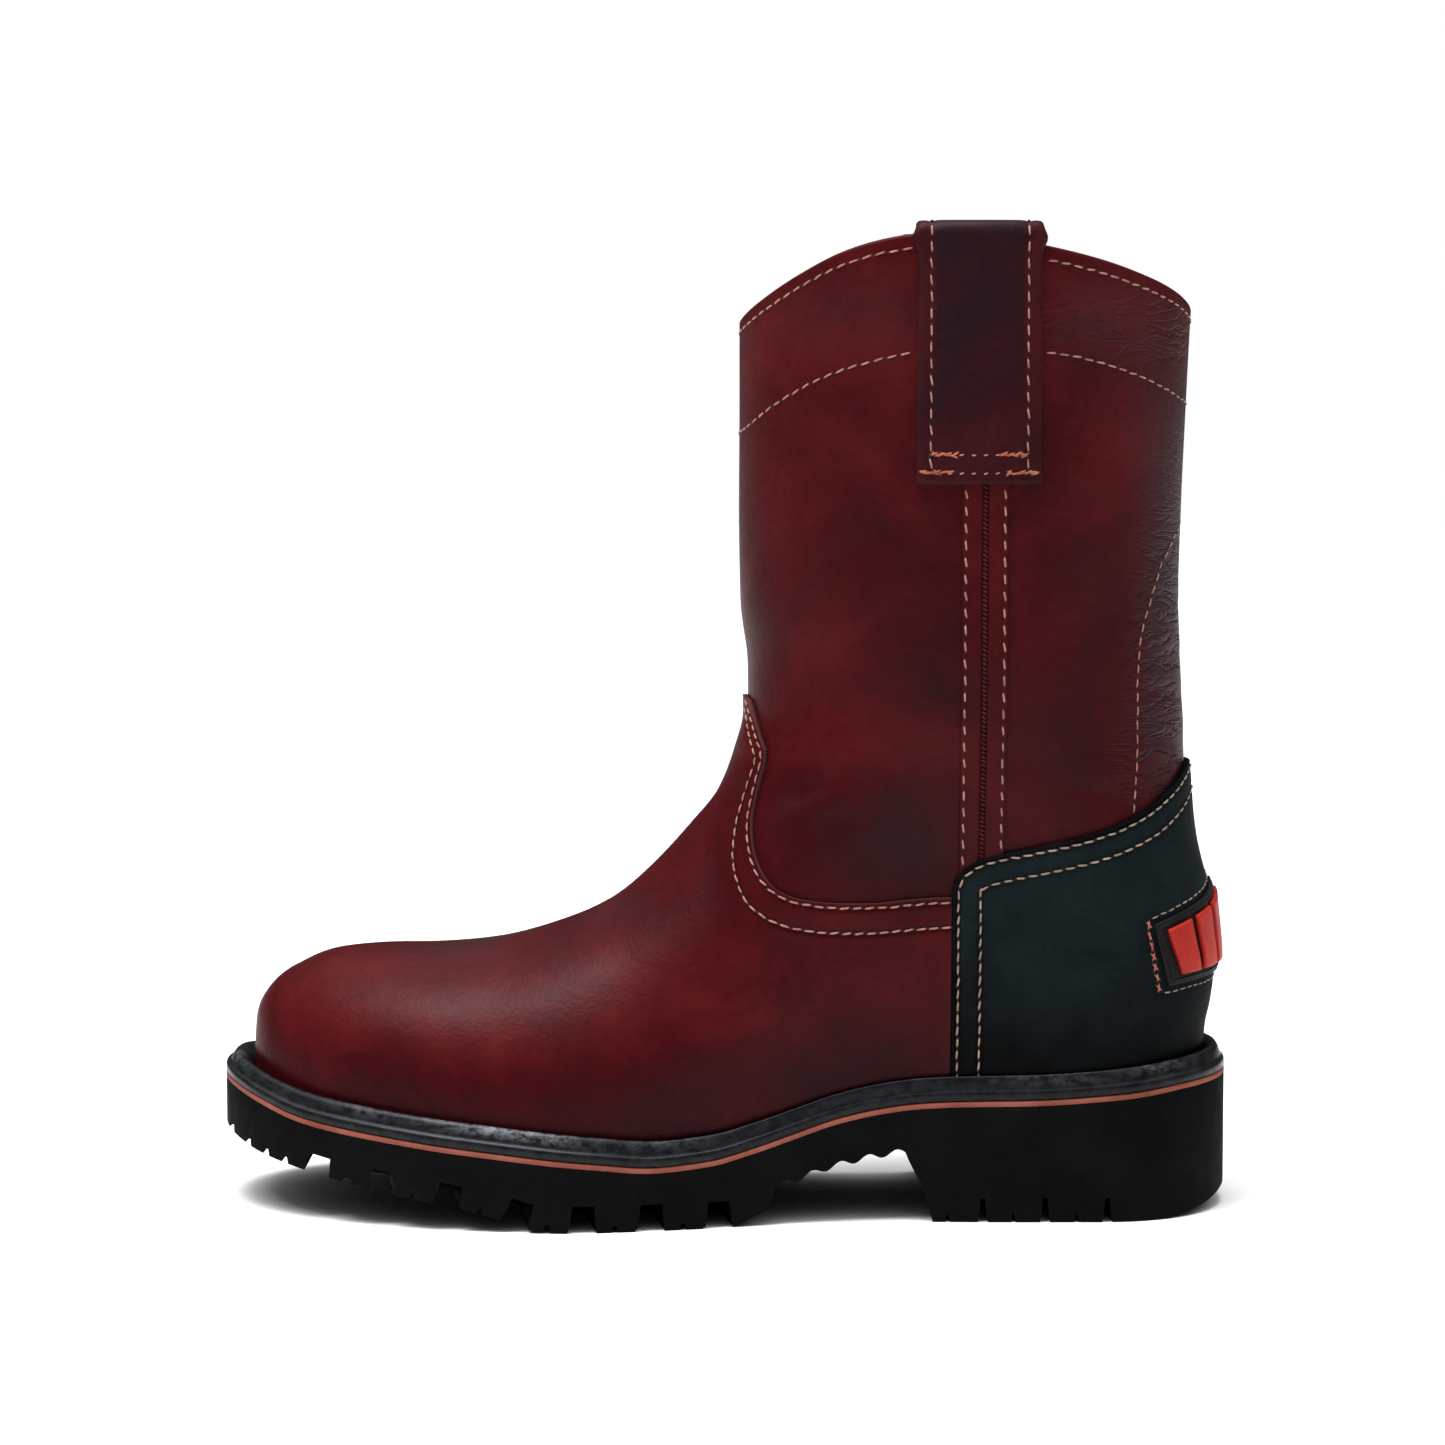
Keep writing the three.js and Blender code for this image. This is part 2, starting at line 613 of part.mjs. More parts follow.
function treadCutters() {
  const cutters = [];
  for (let i = 0; i < LUG_COUNT; i += 1) {
    const x = LUG_FIRST - i * LUG_PITCH;
    const half = soleHalf(x);
    const fade = 1 - (LUG_FADE * sole(alongOf(x))) / TREAD_RISE;
    const gap = { root: LUG_GAP, mouth: LUG_MOUTH, depth: LUG_DEPTH * fade };
    if (i === LUG_COUNT - 1) {
      cutters.push(wedge({ ...gap, length: 2 * BALL_WIDTH, x, y: 0 }));
      continue;
    }
    const length = Math.min(LUG_LENGTH, half * LUG_SHARE);
    for (const side of [-1, 1]) {
      const y = swing(x) + side * half;
      cutters.push(wedge({ ...gap, length: 2 * length, x, y, yaw: -side * LUG_YAW }));
    }
    const middle = x - LUG_PITCH / 2;
    const inner = soleHalf(middle) - length;
    const across = { root: INNER_GAP, mouth: INNER_MOUTH, depth: INNER_DEPTH * fade };
    cutters.push(wedge({ ...across, length: 2 * inner, x: middle, y: swing(middle) }));
    for (const side of [-1, 1]) {
      const channel = { ...across, root: CHANNEL_LENGTH, mouth: CHANNEL_LENGTH };
      const y = swing(middle) + side * inner;
      cutters.push(wedge({ ...channel, length: CHANNEL_WIDTH, x: middle, y }));
    }
  }
  return cutters;
}

function toeCutters() {
  const notch = { root: TOE_NOTCH_ROOT, mouth: TOE_NOTCH_MOUTH, depth: TOE_NOTCH_DEPTH };
  return Array.from({ length: TOE_NOTCH_COUNT }, (_, i) => {
    const x = -SOLE_LENGTH / 2 + (i + 0.5) * TOE_NOTCH_PITCH;
    return wedge({ ...notch, length: 2 * BALL_WIDTH, x, y: 0 });
  });
}

function heelCutters() {
  const slit = { root: HEEL_SLIT_ROOT, mouth: HEEL_SLIT_MOUTH, depth: HEEL_SLIT_DEPTH };
  const across = { root: INNER_GAP, mouth: INNER_MOUTH, depth: HEEL_CHANNEL_DEPTH };
  const cutters = [];
  for (let i = 0; i < HEEL_SLIT_COUNT; i += 1) {
    const x = HEEL_SLIT_FIRST + i * HEEL_SLIT_PITCH;
    for (const side of [-1, 1]) {
      const y = swing(x) + side * soleHalf(x);
      cutters.push(wedge({ ...slit, length: 2 * HEEL_SLIT_LENGTH, x, y }));
    }
    if (i > 0) {
      const length = 2 * (soleHalf(x) - HEEL_SLIT_LENGTH);
      cutters.push(wedge({ ...across, length, x: x - HEEL_SLIT_PITCH / 2, y: swing(x) }));
    }
  }
  return cutters;
}

function makeOutsole() {
  const stations = outsoleStations();
  const block = toSolid(loft([soleRing(tread, stations), soleRing(outsoleTop, stations)]));
  const cutters = [...treadCutters(), ...toeCutters(), ...heelCutters()];
  const tool = cutters.reduce((all, cutter) => all.add(cutter));
  return toGeometry(block.subtract(tool));
}

function makeMidsole() {
  const stations = outsoleStations();
  const bottom = soleRing((x) => outsoleTop(x) + GAP, stations);
  const top = soleRing((x) => outsoleTop(x) + GAP + MIDSOLE_THICKNESS, stations);
  return loft([bottom, top]);
}

// Welt: share runs from its outer edge (0) to the upper (1), height above the sole
const WELT_PROFILE = [
  { share: 1.0, height: 0.0 },
  { share: 0.0, height: 0.0 },
  { share: 0.0, height: WELT_EDGE / WELT_HEIGHT },
  { share: 0.14, height: 0.4 },
  { share: 0.3, height: 0.8 },
  { share: 0.55, height: 1.0 },
  { share: 0.8, height: 0.97 },
  { share: 1.0, height: 0.8 },
];
function makeWelt() {
  const clear = COUNTER_OUTSIDE + GAP;
  const profile = (turn, side) => {
    const x = (-Math.cos(turn) * SOLE_LENGTH) / 2;
    const edge = new THREE.Vector3(x, swing(x) + side * soleHalf(x), seat(x));
    const low = surface(0, turn, side, clear);
    const high = surface(1, turn, side, clear);
    return WELT_PROFILE.map(({ share, height }) => {
      const up = height * WELT_HEIGHT;
      const wall = low.clone().lerp(high, up / (high.z - low.z)).setZ(low.z);
      const point = edge.clone().lerp(wall, share);
      point.z += up;
      return point;
    });
  };
  const outer = turns.map((turn) => profile(turn, -1));
  const inner = turns.map((turn) => profile(turn, 1)).reverse();
  return loft([...outer, ...inner], { closed: true });
}

function makeInsole() {
  const bottom = ring(0, -(UPPER_WALL + 2 * GAP), turnsOf(INSOLE_STEPS));
  const top = bottom.map((p) => p.clone().setZ(p.z + INSOLE_THICKNESS));
  return loft([bottom, top]);
}

// Raised band of a side seam, with its groove, from the pull strap down to the counter
const counterEdgePoints = COUNTER_EDGE.slice(1).map(edgePoint);
const counterTop = curve(
  counterEdgePoints.map(([x]) => x).map((x, i) => x + i * 1e-3),
  counterEdgePoints.map(([, z]) => z),
);
const collarZ = (x) => lastPoint(TOP, turnAt(TOP, x), 1).z;
const strapBottom = collarZ(STRAP_X) - STRAP_DROP;
const GROOVE_FLOOR = 1 - SEAM_GROOVE_DEPTH / SEAM_BAND_THICKNESS;
const SEAM_PROFILE = [
  { across: -0.5, raised: 0.4 },
  { across: -0.47, raised: 1 },
  { across: -0.12, raised: 1 },
  { across: 0, raised: GROOVE_FLOOR },
  { across: 0.12, raised: 1 },
  { across: 0.47, raised: 1 },
  { across: 0.5, raised: 0.4 },
];
function makeSeamBand(side) {
  const rings = [];
  for (let i = 0; i <= SEAM_STEPS; i += 1) {
    const place = (across, offset) => {
      const x = SEAM_X + across * SEAM_BAND_WIDTH;
      const z = mix(counterTop(x) + GAP, strapBottom - GAP, i / SEAM_STEPS);
      return sidePoint(x, z, side, offset);
    };
    const over = SEAM_PROFILE.map(({ across, raised }) =>
      place(across, GAP + SEAM_BAND_THICKNESS * raised),
    );
    const under = SEAM_PROFILE.map(({ across }) => place(across, GAP));
    rings.push([...over, ...under.reverse()]);
  }
  return loft(rings);
}

// Pull strap: up the outside, over the collar and down the inside
function makePullStrap(side) {
  const half = STRAP_THICKNESS / 2;
  const outside = GAP + half;
  const inside = -(UPPER_WALL + GAP + half);
  const middle = (outside + inside) / 2;
  const radius = (outside - inside) / 2;
  const top = collarZ(STRAP_X) + STRAP_RISE;
  const crown = radius * STRAP_CROWN;
  const shoulder = top - half - crown;
  const path = [];
  for (let i = 0; i < STRAP_LEG_STEPS; i += 1) {
    path.push([outside, mix(strapBottom, shoulder, i / STRAP_LEG_STEPS)]);
  }
  for (let i = 0; i <= STRAP_TURN_STEPS; i += 1) {
    const angle = (i / STRAP_TURN_STEPS) * Math.PI;
    path.push([middle + radius * Math.cos(angle), shoulder + crown * Math.sin(angle)]);
  }
  const insideEnd = collarZ(STRAP_X) - STRAP_INSIDE;
  for (let i = 1; i <= STRAP_LEG_STEPS; i += 1) {
    path.push([inside, mix(shoulder, insideEnd, i / STRAP_LEG_STEPS)]);
  }
  const rings = [];
  for (let i = 0; i <= STRAP_ACROSS; i += 1) {
    const x = STRAP_X + (i / STRAP_ACROSS - 0.5) * STRAP_WIDTH;
    const at = (out, z) => {
      const wall = sidePoint(x, Math.min(z, collarZ(x) - UPPER_WALL), side, 0);
      return new THREE.Vector3(x, wall.y + side * out, z);
    };
    const direction = (k) => {
      const [n0, z0] = path[Math.max(0, k - 1)];
      const [n1, z1] = path[Math.min(path.length - 1, k + 1)];
      const length = Math.hypot(n1 - n0, z1 - z0);
      return [(n1 - n0) / length, (z1 - z0) / length];
    };
    const offsetPath = (distance) =>
      path.map(([n, z], k) => {
        const [dn, dz] = direction(k);
        return at(n + dz * distance, z - dn * distance);
      });
    rings.push([...offsetPath(half), ...offsetPath(-half).reverse()]);
  }
  return loft(rings);
}

// Heel badge: a curved plate round the back of the heel, and upright blocks on it.
// arc is the way round the heel from the middle of the back, measured at mid height.
function heelTurns() {
  const table = [{ arc: 0, turn: Math.PI }];
  let before = lastPoint(BADGE_LEVEL, Math.PI, -1);
  for (let turn = Math.PI - NUDGE; turn > Math.PI / 2; turn -= NUDGE) {
    const point = lastPoint(BADGE_LEVEL, turn, -1);
    table.push({ arc: table[table.length - 1].arc + point.distanceTo(before), turn });
    before = point;
  }
  return curve(table.map((row) => row.arc), table.map((row) => row.turn));
}
const heelTurn = heelTurns();
function heelPoint(arc, up, offset) {
  const side = arc < 0 ? -1 : 1;
  const turn = Math.min(heelTurn(Math.abs(arc)), Math.PI - 1e-3);
  let low = 0;
  let high = TOP;
  for (let i = 0; i < BISECTIONS; i += 1) {
    const level = (low + high) / 2;
    if (mix(section.up(level), section.backUp(level), (1 - Math.cos(turn)) / 2) < up) low = level;
    else high = level;
  }
  return surface((low + high) / 2, turn, side, offset);
}
const badgeTop = (share) => BADGE_LOW + mix(BADGE_PEAK_HEIGHT, BADGE_END_HEIGHT, Math.abs(share));

// A curved slab between two shares of the badge's arc, inset from its edges
function badgeSlab(from, to, inset, inside, outside, steps) {
  const rings = [];
  for (let i = 0; i <= steps; i += 1) {
    const share = mix(from, to, i / steps);
    const upright = (offset) =>
      Array.from({ length: BADGE_ROWS + 1 }, (_, k) => {
        const lift = k / BADGE_ROWS;
        const arc = share * mix(BADGE_ARC_BOTTOM, BADGE_ARC_TOP, lift);
        const up = mix(BADGE_LOW + inset, badgeTop(share) - inset, lift);
        return heelPoint(arc, up, offset);
      });
    rings.push([...upright(outside), ...upright(inside).reverse()]);
  }
  return loft(rings);
}
const PLATE_INSIDE = COUNTER_OUTSIDE + GAP;
const PLATE_OUTSIDE = PLATE_INSIDE + BADGE_THICKNESS;
function makeBadgePlate() {
  return badgeSlab(-1, 1, 0, PLATE_INSIDE, PLATE_OUTSIDE, BADGE_STEPS);
}
function makeBadgeBlock(index) {
  const edge = BADGE_BORDER / BADGE_ARC_TOP;
  const pitch = (2 - 2 * edge) / BLOCK_COUNT;
  const trim = BLOCK_GAP / BADGE_ARC_TOP / 2;
  const from = -1 + edge + index * pitch + trim;
  const to = from + pitch - 2 * trim;
  const inside = PLATE_OUTSIDE + GAP;
  return badgeSlab(from, to, BADGE_BORDER, inside, inside + BLOCK_THICKNESS, BLOCK_STEPS);
}

const leather = new THREE.MeshStandardMaterial({ color: 0x5a1a20, roughness: 0.5 });
const strapLeather = new THREE.MeshStandardMaterial({ color: 0x3d1f29, roughness: 0.5 });
const blackLeather = new THREE.MeshStandardMaterial({ color: 0x10161a, roughness: 0.55 });
const rubber = new THREE.MeshStandardMaterial({ color: 0x121314, roughness: 0.75 });
const midsoleRubber = new THREE.MeshStandardMaterial({ color: 0xa4553f, roughness: 0.6 });
const footbedFabric = new THREE.MeshStandardMaterial({ color: 0x2b2623, roughness: 0.9 });
const orangeRubber = new THREE.MeshStandardMaterial({ color: 0xd8402a, roughness: 0.5 });

const boot = new THREE.Group();
function addPiece(name, geometry, material) {
  const mesh = new THREE.Mesh(geometry, material);
  mesh.name = name;
  geometry.computeVertexNormals();
  boot.add(mesh);
}

addPiece("outsole", makeOutsole(), rubber);
addPiece("midsole", makeMidsole(), midsoleRubber);
addPiece("welt", makeWelt(), blackLeather);
addPiece("insole", makeInsole(), footbedFabric);
addPiece("upper", shell(-UPPER_WALL, 0), leather);
addPiece("vamp", makeVamp(), leather);
addPiece("counter", makeCounter(), blackLeather);
for (const [name, side] of [["lateral", -1], ["medial", 1]]) {
  addPiece(`seam_band_${name}`, makeSeamBand(side), leather);
  addPiece(`pull_strap_${name}`, makePullStrap(side), strapLeather);
}
addPiece("heel_badge", makeBadgePlate(), rubber);
for (let i = 0; i < BLOCK_COUNT; i += 1) {
  addPiece(`badge_block_${i + 1}`, makeBadgeBlock(i), orangeRubber);
}

export default boot;
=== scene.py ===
# A left pull-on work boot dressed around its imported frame: leather, rubber and stitching.
# Lengths are in millimetres until a mesh is made, which divides them by MM.
import math

import bmesh
import bpy
import numpy as np
from mathutils import Matrix, Vector, kdtree


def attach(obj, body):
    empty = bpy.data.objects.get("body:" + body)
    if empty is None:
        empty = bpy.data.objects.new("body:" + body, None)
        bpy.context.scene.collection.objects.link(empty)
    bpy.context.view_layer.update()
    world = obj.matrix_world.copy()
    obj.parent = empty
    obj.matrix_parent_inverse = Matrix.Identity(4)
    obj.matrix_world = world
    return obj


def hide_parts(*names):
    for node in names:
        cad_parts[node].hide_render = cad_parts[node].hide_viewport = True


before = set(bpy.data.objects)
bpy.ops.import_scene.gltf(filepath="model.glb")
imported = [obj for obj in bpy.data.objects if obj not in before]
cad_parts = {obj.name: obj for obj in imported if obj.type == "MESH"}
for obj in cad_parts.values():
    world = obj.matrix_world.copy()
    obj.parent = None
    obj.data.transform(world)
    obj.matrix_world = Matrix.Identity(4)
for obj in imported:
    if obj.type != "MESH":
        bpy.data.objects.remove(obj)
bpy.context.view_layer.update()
MM = 1000.0

# The boot's own sizes, as in its solids
SOLE_LENGTH = 306
BALL_WIDTH = 110
HEEL_WIDTH = 79
SOLE_TOE_ROUND = 80
SOLE_HEEL_ROUND = 41
TOE_FULLNESS = 2.4
HEEL_FULLNESS = 2.1
HEEL_RISE = 39.6
BALL_RISE = 17
TOE_SPRING = 20.3
TREAD_RISE = 23.5
ARCH_THICKNESS = 12
ARCH_RIB_HEIGHT = 0.9
ARCH_RIB_PITCH = 8.4
HEEL_BREAST = 0.297
HEEL_BREAST_SLOPE = 0.027
BREAST_HOLLOW = 0.8
FOREPART_END = 0.455
MIDSOLE_THICKNESS = 1.4
WELT_REACH = 8
HEEL_REACH = 5.5
WELT_HEIGHT = 7
LUG_PITCH = 20
LUG_GAP = 6.6
LUG_MOUTH = 8.6
LUG_DEPTH = 8
LUG_FADE = 0.5
LUG_COUNT = 7
LUG_FIRST = -1.2
LUG_LENGTH = 25
LUG_SHARE = 0.55
LUG_YAW = 0.16
INNER_GAP = 4.6
INNER_MOUTH = 6
INNER_DEPTH = 6.4
CHANNEL_WIDTH = 4.5
CHANNEL_LENGTH = 21
TOE_NOTCH_COUNT = 4
TOE_NOTCH_PITCH = 6.2
TOE_NOTCH_DEPTH = 1.9
TOE_NOTCH_ROOT = 0.4
TOE_NOTCH_MOUTH = 5.6
HEEL_SLIT_COUNT = 3
HEEL_SLIT_PITCH = 18.5
HEEL_SLIT_FIRST = 77
HEEL_SLIT_DEPTH = 7.2
HEEL_SLIT_ROOT = 1.3
HEEL_SLIT_MOUTH = 3.2
HEEL_SLIT_LENGTH = 17
HEEL_CHANNEL_DEPTH = 5.6
CUTTER_BELOW = 4
STATIONS_APART = 0.3
STATIONS_MERGED = 0.4
INSTEP_HEIGHT = 120
LEG_HEIGHT = 124
LEG_DEPTH = 134
LEG_WIDTH = 98
COLLAR_ARCH = 17.5
COLLAR_ROUND = 1.5
COLLAR_GROWTH = 1.6
SWELL_HEIGHT = 45
TOE_SQUARENESS = 2.5
INSTEP_SQUARENESS = 2
RIDGE_SHIFT = 3
RIDGE_STEEPNESS = 4
RIDGE_FINENESS = 12
LEG_BLEND_START = 0.35
LEG_BLEND_END = 1.2
LEG_BACK_RISE = 0.872
HEEL_REACH_END = 0.35
WELT_REACH_START = 0.6
INSTEP_ZONE = 0.55
TOE_ZONE = 0.9
UPPER_WALL = 2
VAMP_THICKNESS = 1.3
COUNTER_THICKNESS = 1.6
INSOLE_THICKNESS = 4
GAP = 0.3
SEAT_GAP = 0.5
SEAM_BAND_WIDTH = 13.4
SEAM_BAND_THICKNESS = 0.9
SEAM_X = 75.9
STRAP_X = 74
STRAP_WIDTH = 36.5
STRAP_THICKNESS = 2.4
STRAP_DROP = 71
STRAP_RISE = 5
STRAP_INSIDE = 44
STRAP_CROWN = 1.5
BADGE_LEVEL = 5
BADGE_ARC_TOP = 44
BADGE_ARC_BOTTOM = 37
BADGE_LOW = 30
BADGE_END_HEIGHT = 19
BADGE_PEAK_HEIGHT = 27
BADGE_THICKNESS = 1
BADGE_BORDER = 3
BLOCK_COUNT = 7
BLOCK_GAP = 2.6
BLOCK_THICKNESS = 1.2
COUNTER_OUTSIDE = GAP + COUNTER_THICKNESS
PLATE_OUTSIDE = COUNTER_OUTSIDE + GAP + BADGE_THICKNESS

BOTH = (-1, 1)
SIDES = ((-1, "lateral"), (1, "medial"))
NUDGE = 0.02
FINE_NUDGE = 0.01
HALVINGS = 34

# along, heel share, ball share, swing, swell
PLAN = [
    (0.0, 1.0, 0.0, 0.0, 0.08), (0.16, 1.0, 0.0, -0.002, 0.1),
    (0.3, 0.957, 0.0, -0.012, 0.17), (0.4, 0.5, 0.332, -0.03, 0.23),
    (0.5, 0.15, 0.68, -0.036, 0.19), (0.6, 0.0, 0.927, -0.025, 0.11),
    (0.68, 0.0, 0.996, -0.003, 0.07), (0.76, 0.0, 0.991, 0.022, 0.06),
    (0.85, 0.0, 0.936, 0.045, 0.06), (1.0, 0.0, 0.84, 0.07, 0.06),
]
# along, share of the heel lift, share of the toe spring
LIFT = [
    (0.0, 1.0, 0.0), (0.045, 0.965, 0.0), (0.11, 0.868, 0.0), (0.2, 0.785, 0.0),
    (0.27, 0.768, 0.0), (0.31, 0.74, 0.0), (0.35, 0.67, 0.0), (0.39, 0.555, 0.0),
    (0.43, 0.38, 0.0), (0.47, 0.205, 0.0), (0.515, 0.055, 0.0), (0.57, 0.0, 0.0),
    (0.62, 0.0, 0.07), (0.7, 0.0, 0.19), (0.8, 0.0, 0.352), (0.87, 0.0, 0.475),
    (0.915, 0.0, 0.585), (0.955, 0.0, 0.77), (0.98, 0.0, 0.9), (1.0, 0.0, 1.0),
]
# along, share of the tread's rise: heel, then forepart
HEEL_TREAD = [(0.0, 0.27), (0.015, 0.18), (0.03, 0.11), (0.055, 0.045), (0.085, 0.0)]
FORE_TREAD = [
    (0.45, 0.26), (0.47, 0.13), (0.49, 0.02), (0.505, 0.0), (0.635, 0.0), (0.69, 0.06),
    (0.72, 0.18), (0.75, 0.275), (0.82, 0.425), (0.915, 0.65), (0.96, 0.79), (1.0, 1.0),
]
# front, rise, back, back rise
FOOT = [
    (-0.4666, 0, 0.4729, 0), (-0.4666, 0.085, 0.473, 0.05), (-0.4647, 0.165, 0.4745, 0.11),
    (-0.4487, 0.25, 0.4793, 0.17), (-0.425, 0.31, 0.482, 0.23), (-0.3933, 0.36, 0.482, 0.29),
    (-0.3456, 0.391, 0.48, 0.35), (-0.285, 0.413, 0.4775, 0.41), (-0.225, 0.447, 0.475, 0.47),
    (-0.166, 0.505, 0.469, 0.53), (-0.1115, 0.58, 0.464, 0.59), (-0.069, 0.675, 0.4608, 0.655),
    (-0.0295, 0.775, 0.4588, 0.725), (0.0027, 0.865, 0.457, 0.8), (0.019, 0.955, 0.4562, 0.88),
    (0.029, 1.05, 0.4543, 0.96),
]
# climb, back, depth
LEG = [
    (0.167, 0.4528, 0.98), (0.333, 0.4503, 0.991), (0.55, 0.452, 0.998),
    (0.775, 0.4555, 1.005), (1, 0.4597, 1.0145),
]
# Panel edges: x as a share of the sole's length, rise of the instep height
VAMP_EDGE = [
    (0.0268, 1.092), (0.0422, 0.955), (0.0415, 0.918), (0.0333, 0.846), (0.0297, 0.802),
    (0.0294, 0.759), (0.0314, 0.716), (0.0376, 0.669), (0.0477, 0.627), (0.0634, 0.591),
    (0.084, 0.562), (0.1078, 0.537), (0.1493, 0.513), (0.19, 0.508), (0.2203, 0.507),
]
COUNTER_EDGE = [
    (0.2203, 0.531), (0.2275, 0.57), (0.2438, 0.598), (0.2696, 0.615), (0.3026, 0.629),
    (0.3634, 0.655), (0.4059, 0.69), (0.4386, 0.741), (0.4614, 0.795), (0.52, 0.88),
]
# Welt: share from the outer edge (0) to the upper (1), height as a share of its own
WELT_PROFILE = [
    (0.0, 0.0), (0.0, 0.2), (0.02, 0.32), (0.07, 0.37), (0.14, 0.4), (0.2, 0.52), (0.3, 0.8),
    (0.42, 0.96), (0.55, 1.02), (0.68, 1.0), (0.8, 0.92), (0.9, 0.82), (1.0, 0.75),
]


def mix(a, b, share):
    return a + (b - a) * share


def smooth(low, high, value):
    share = np.clip((value - low) / (high - low), 0, 1)
    return share * share * (3 - 2 * share)


def unit(vectors):
    return vectors / np.maximum(np.linalg.norm(vectors, axis=-1, keepdims=True), 1e-9)


def lengths_along(points):
    """Distance of each point from the first one, along a polyline."""
    return np.concatenate([[0], np.cumsum(np.linalg.norm(np.diff(points, axis=0), axis=1))])


def curve(keys, values):
    """A smooth curve through the points, which doesn't overshoot them."""
    keys, values = np.array(keys, float), np.array(values, float)
    widths = np.diff(keys)
    steps = np.diff(values) / widths
    slopes = np.concatenate([steps[:1], np.zeros(len(keys) - 2), steps[-1:]])
    product = steps[:-1] * steps[1:]
    total = np.where(product > 0, steps[:-1] + steps[1:], 1)
    slopes[1:-1] = np.where(product > 0, 2 * product / total, 0)

    def at(x):
        x = np.clip(x, keys[0], keys[-1])
        i = np.clip(np.searchsorted(keys, x, side="right") - 1, 0, len(widths) - 1)
        width = widths[i]
        s = (x - keys[i]) / width
        s2, s3 = s * s, s * s * s
        return (
            (2 * s3 - 3 * s2 + 1) * values[i]
            + (s3 - 2 * s2 + s) * width * slopes[i]
            + (3 * s2 - 2 * s3) * values[i + 1]
            + (s3 - s2) * width * slopes[i + 1]
        )

    return at


def column(rows, index, key=0):
    return curve([r[key] for r in rows], [r[index] for r in rows])


# Sole outline and heights
heel_share, ball_share, swing_share, swell_share = (column(PLAN, i) for i in (1, 2, 3, 4))
heel_lift, toe_lift = column(LIFT, 1), column(LIFT, 2)
heel_tread, fore_tread = column(HEEL_TREAD, 1), column(FORE_TREAD, 1)


def along_of(x):
    return 0.5 - x / SOLE_LENGTH


def base_half(along):
    return (heel_share(along) * HEEL_WIDTH + ball_share(along) * BALL_WIDTH) / 2


def end_round(distance, reach, power):
    return (1 - (1 - np.clip(distance / reach, 0, 1)) ** power) ** (1 / power)


def sole_half(x):
    return (
        base_half(along_of(x))
        * end_round(x + SOLE_LENGTH / 2, SOLE_TOE_ROUND, TOE_FULLNESS)
        * end_round(SOLE_LENGTH / 2 - x, SOLE_HEEL_ROUND, HEEL_FULLNESS)
    )


def middle_of_outline():
    x = np.arange(-SOLE_LENGTH / 2, SOLE_LENGTH / 2 + 1)
    middle = swing_share(along_of(x)) * BALL_WIDTH
    return (np.min(middle - sole_half(x)) + np.max(middle + sole_half(x))) / 2


MIDDLE_Y = middle_of_outline()


def swing(x):
    return swing_share(along_of(x)) * BALL_WIDTH - MIDDLE_Y


def outsole_top(x):
    along = along_of(x)
    return BALL_RISE + heel_lift(along) * (HEEL_RISE - BALL_RISE) + toe_lift(along) * TOE_SPRING


def seat(x):
    return outsole_top(x) + MIDSOLE_THICKNESS + GAP + SEAT_GAP


def sole_plane(along):
    return TREAD_RISE * np.where(along > HEEL_BREAST, fore_tread(along), heel_tread(along))


def tread(x):
    along = along_of(x)
    ribs = ARCH_RIB_HEIGHT * np.cos(2 * np.pi * (x - 1) / ARCH_RIB_PITCH)
    breast = np.clip((along - HEEL_BREAST) / HEEL_BREAST_SLOPE, 0, 1) ** BREAST_HOLLOW
    arch = (outsole_top(x) - ARCH_THICKNESS + ribs) * breast
    in_arch = (along > HEEL_BREAST) & (along < FOREPART_END)
    return np.where(in_arch, arch, sole_plane(along))


# The last: each section runs from a front point to a back point
def make_sections():
    last = FOOT[-1]
    first = LEG[0]
    throat_step = first[1] * SOLE_LENGTH - first[2] * LEG_DEPTH - last[0] * SOLE_LENGTH
    rows = []
    for front, rise, back, back_rise in FOOT:
        leg = float(smooth(LEG_BLEND_START, LEG_BLEND_END, rise))
        rows.append((
            leg, front * SOLE_LENGTH + leg * throat_step, rise * INSTEP_HEIGHT,
            back * SOLE_LENGTH, back_rise * INSTEP_HEIGHT, 0,
        ))
    for climb, back, depth in LEG:
        rows.append((
            1, back * SOLE_LENGTH - depth * LEG_DEPTH, INSTEP_HEIGHT + climb * LEG_HEIGHT,
            back * SOLE_LENGTH, LEG_BACK_RISE * INSTEP_HEIGHT + climb * LEG_HEIGHT, climb,
        ))
    return rows


SECTIONS = make_sections()
TOP = len(SECTIONS) - 1
ORDER = list(range(len(SECTIONS)))
s_leg, s_front, s_up, s_back, s_back_up, s_climb = (
    curve(ORDER, [s[k] for s in SECTIONS]) for k in range(6)
)


def make_ridge():
    levels = np.arange(RIDGE_FINENESS, (len(FOOT) - 1) * RIDGE_FINENESS + 1) / RIDGE_FINENESS
    x, up = list(s_front(levels)), list(s_up(levels))
    x.append(x[-1] + LEG_DEPTH)
    up.append(up[-1] + LEG_DEPTH * RIDGE_STEEPNESS)
    return curve(x, up)


ridge_line = make_ridge()
RIDGE_BEND = 8.5
RIDGE_BEND_REACH = 3.5
RIDGE_SHIFTS = np.linspace(-4, 4, 9)


def ridge_at(x):
    """Height of the ridge over the foot, eased where the leg begins."""
    around = sum(ridge_line(x + shift) for shift in RIDGE_SHIFTS) / len(RIDGE_SHIFTS)
    return mix(ridge_line(x), around, np.exp(-((x - RIDGE_BEND) / RIDGE_BEND_REACH) ** 2))


